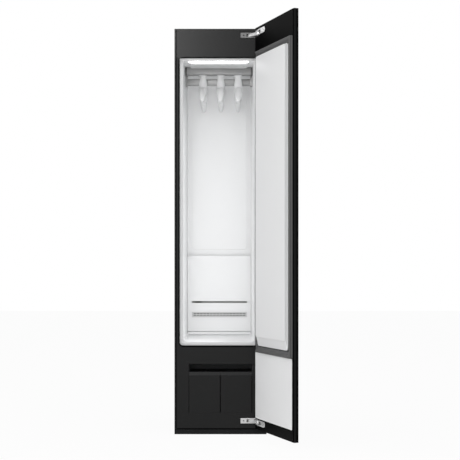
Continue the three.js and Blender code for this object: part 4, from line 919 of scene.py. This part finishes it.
def makeScrews():
    low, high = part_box("back_panel")
    inset = screw["fromEdge"] * mm
    pitch = (high.z - low.z - 2 * inset) / (screw["rows"] - 1)
    places = [(x, high.y, low.z + inset + pitch * row) for row in range(screw["rows"])
              for x in (low.x + inset, high.x - inset)]
    head = screwHead()
    outward = Vector((0, 1, 0)).to_track_quat("Z", "Y").to_matrix().to_4x4()
    shape = bmesh.new()
    for count, place in enumerate(places):
        one = head.copy()
        turn = Matrix.Rotation(math.radians(screw["turn"] * count), 4, "Z")
        one.transform(Matrix.Translation(place) @ outward @ turn)
        shape.from_mesh(one)
        bpy.data.meshes.remove(one)
    bpy.data.meshes.remove(head)
    piece = fresh("back_screws", shape)
    finishAs(piece, "back_panel", finishes["pin_steel"])
    smooth(piece, screw["angle"])


makeScrews()
print("screws made")


# Floor: white to the camera and in gloss, with the cabinet's soft shadow kept
stage = {"size": 14, "level": 0.82, "rough": 0.9, "showShare": 0.94}


def makeFloor():
    finish = Finish("paleFloor")
    finish.set(colour=grey(stage["level"]), rough=stage["rough"], specular=0.0)
    glow = finish.add("ShaderNodeEmission", None, {"Color": grey(1.0), "Strength": 1.0})
    plain = Wire(finish, finish.shader.outputs[0])
    inputs = {0: finish.seen() * stage["showShare"], 1: plain, 2: glow}
    mixed = finish.add("ShaderNodeMixShader", None, inputs)
    finish.put(finish.output.inputs["Surface"], mixed)
    mesh = bpy.data.meshes.new("floor")
    shape = bmesh.new()
    bmesh.ops.create_grid(shape, x_segments=1, y_segments=1, size=stage["size"])
    shape.to_mesh(mesh)
    shape.free()
    floor = bpy.data.objects.new("floor", mesh)
    scene.collection.objects.link(floor)
    mesh.materials.append(finish.material)


# The world is white to the camera and in gloss, and lights the object at its own level
light = {"world": 0.6}


def makeWorld():
    world = bpy.data.worlds.new("studio")
    scene.world = world
    world.use_nodes = True
    tree = Tree(world.node_tree)
    background = tree.nodes["Background"]
    tree.put(background.inputs["Color"], grey(1.0))
    tree.put(background.inputs["Strength"], light["world"] + tree.seen() * (1 - light["world"]))


# Area lamps: places and sizes in metres, power in watts; a mirrored lamp shows in gloss
lamps = {
    "key": {"at": (-3.8, -2.2, 1.2), "look": (0.2, -0.1, 1.0), "size": 3.0, "power": 43, "mirrored": True},
    "front": {"at": (-0.1, -5.2, 1.9), "look": (0, 0.2, 1.0), "size": 1.8, "power": 40, "mirrored": False},
    "low": {"at": (-0.3, -4.2, 0.25), "look": (0, 0.2, 1.5), "size": 1.4, "power": 9, "mirrored": False},
    "cavity": {"at": (-0.08, 0.03, 0.98), "look": (-0.08, 1, 0.98), "size": 0.18, "tall": 1.16, "power": 0.8,
               "mirrored": False},
    "overRail": {"at": (-0.01, 0.25, 1.782), "look": (-0.01, 1, 1.76), "size": 0.3, "tall": 0.03,
                 "power": 0.06, "mirrored": False},
    "top": {"at": (0.2, -0.8, 4.2), "look": (0, 0.1, 1.0), "size": 1.6, "power": 20, "mirrored": False},
    "sheen": {"at": (-1.3, -4.8, 3.0), "look": (-0.2, 0, 1.9), "size": 1.4, "power": 125, "mirrored": True,
              "diffuse": False},
}


def makeLamp(name, values):
    data = bpy.data.lights.new(name, "AREA")
    data.size = values["size"]
    if "tall" in values:
        data.shape = "RECTANGLE"
        data.size_y = values["tall"]
    data.energy = values["power"]
    lamp = bpy.data.objects.new(name, data)
    lamp.location = values["at"]
    lamp.visible_glossy = values["mirrored"]
    lamp.visible_diffuse = values.get("diffuse", True)
    lamp.visible_camera = False
    toward = Vector(values["look"]) - Vector(values["at"])
    lamp.rotation_euler = toward.to_track_quat("-Z", "Y").to_euler()
    scene.collection.objects.link(lamp)


makeFloor()
makeWorld()
for name, values in lamps.items():
    makeLamp(name, values)
print("stage and lamps made")
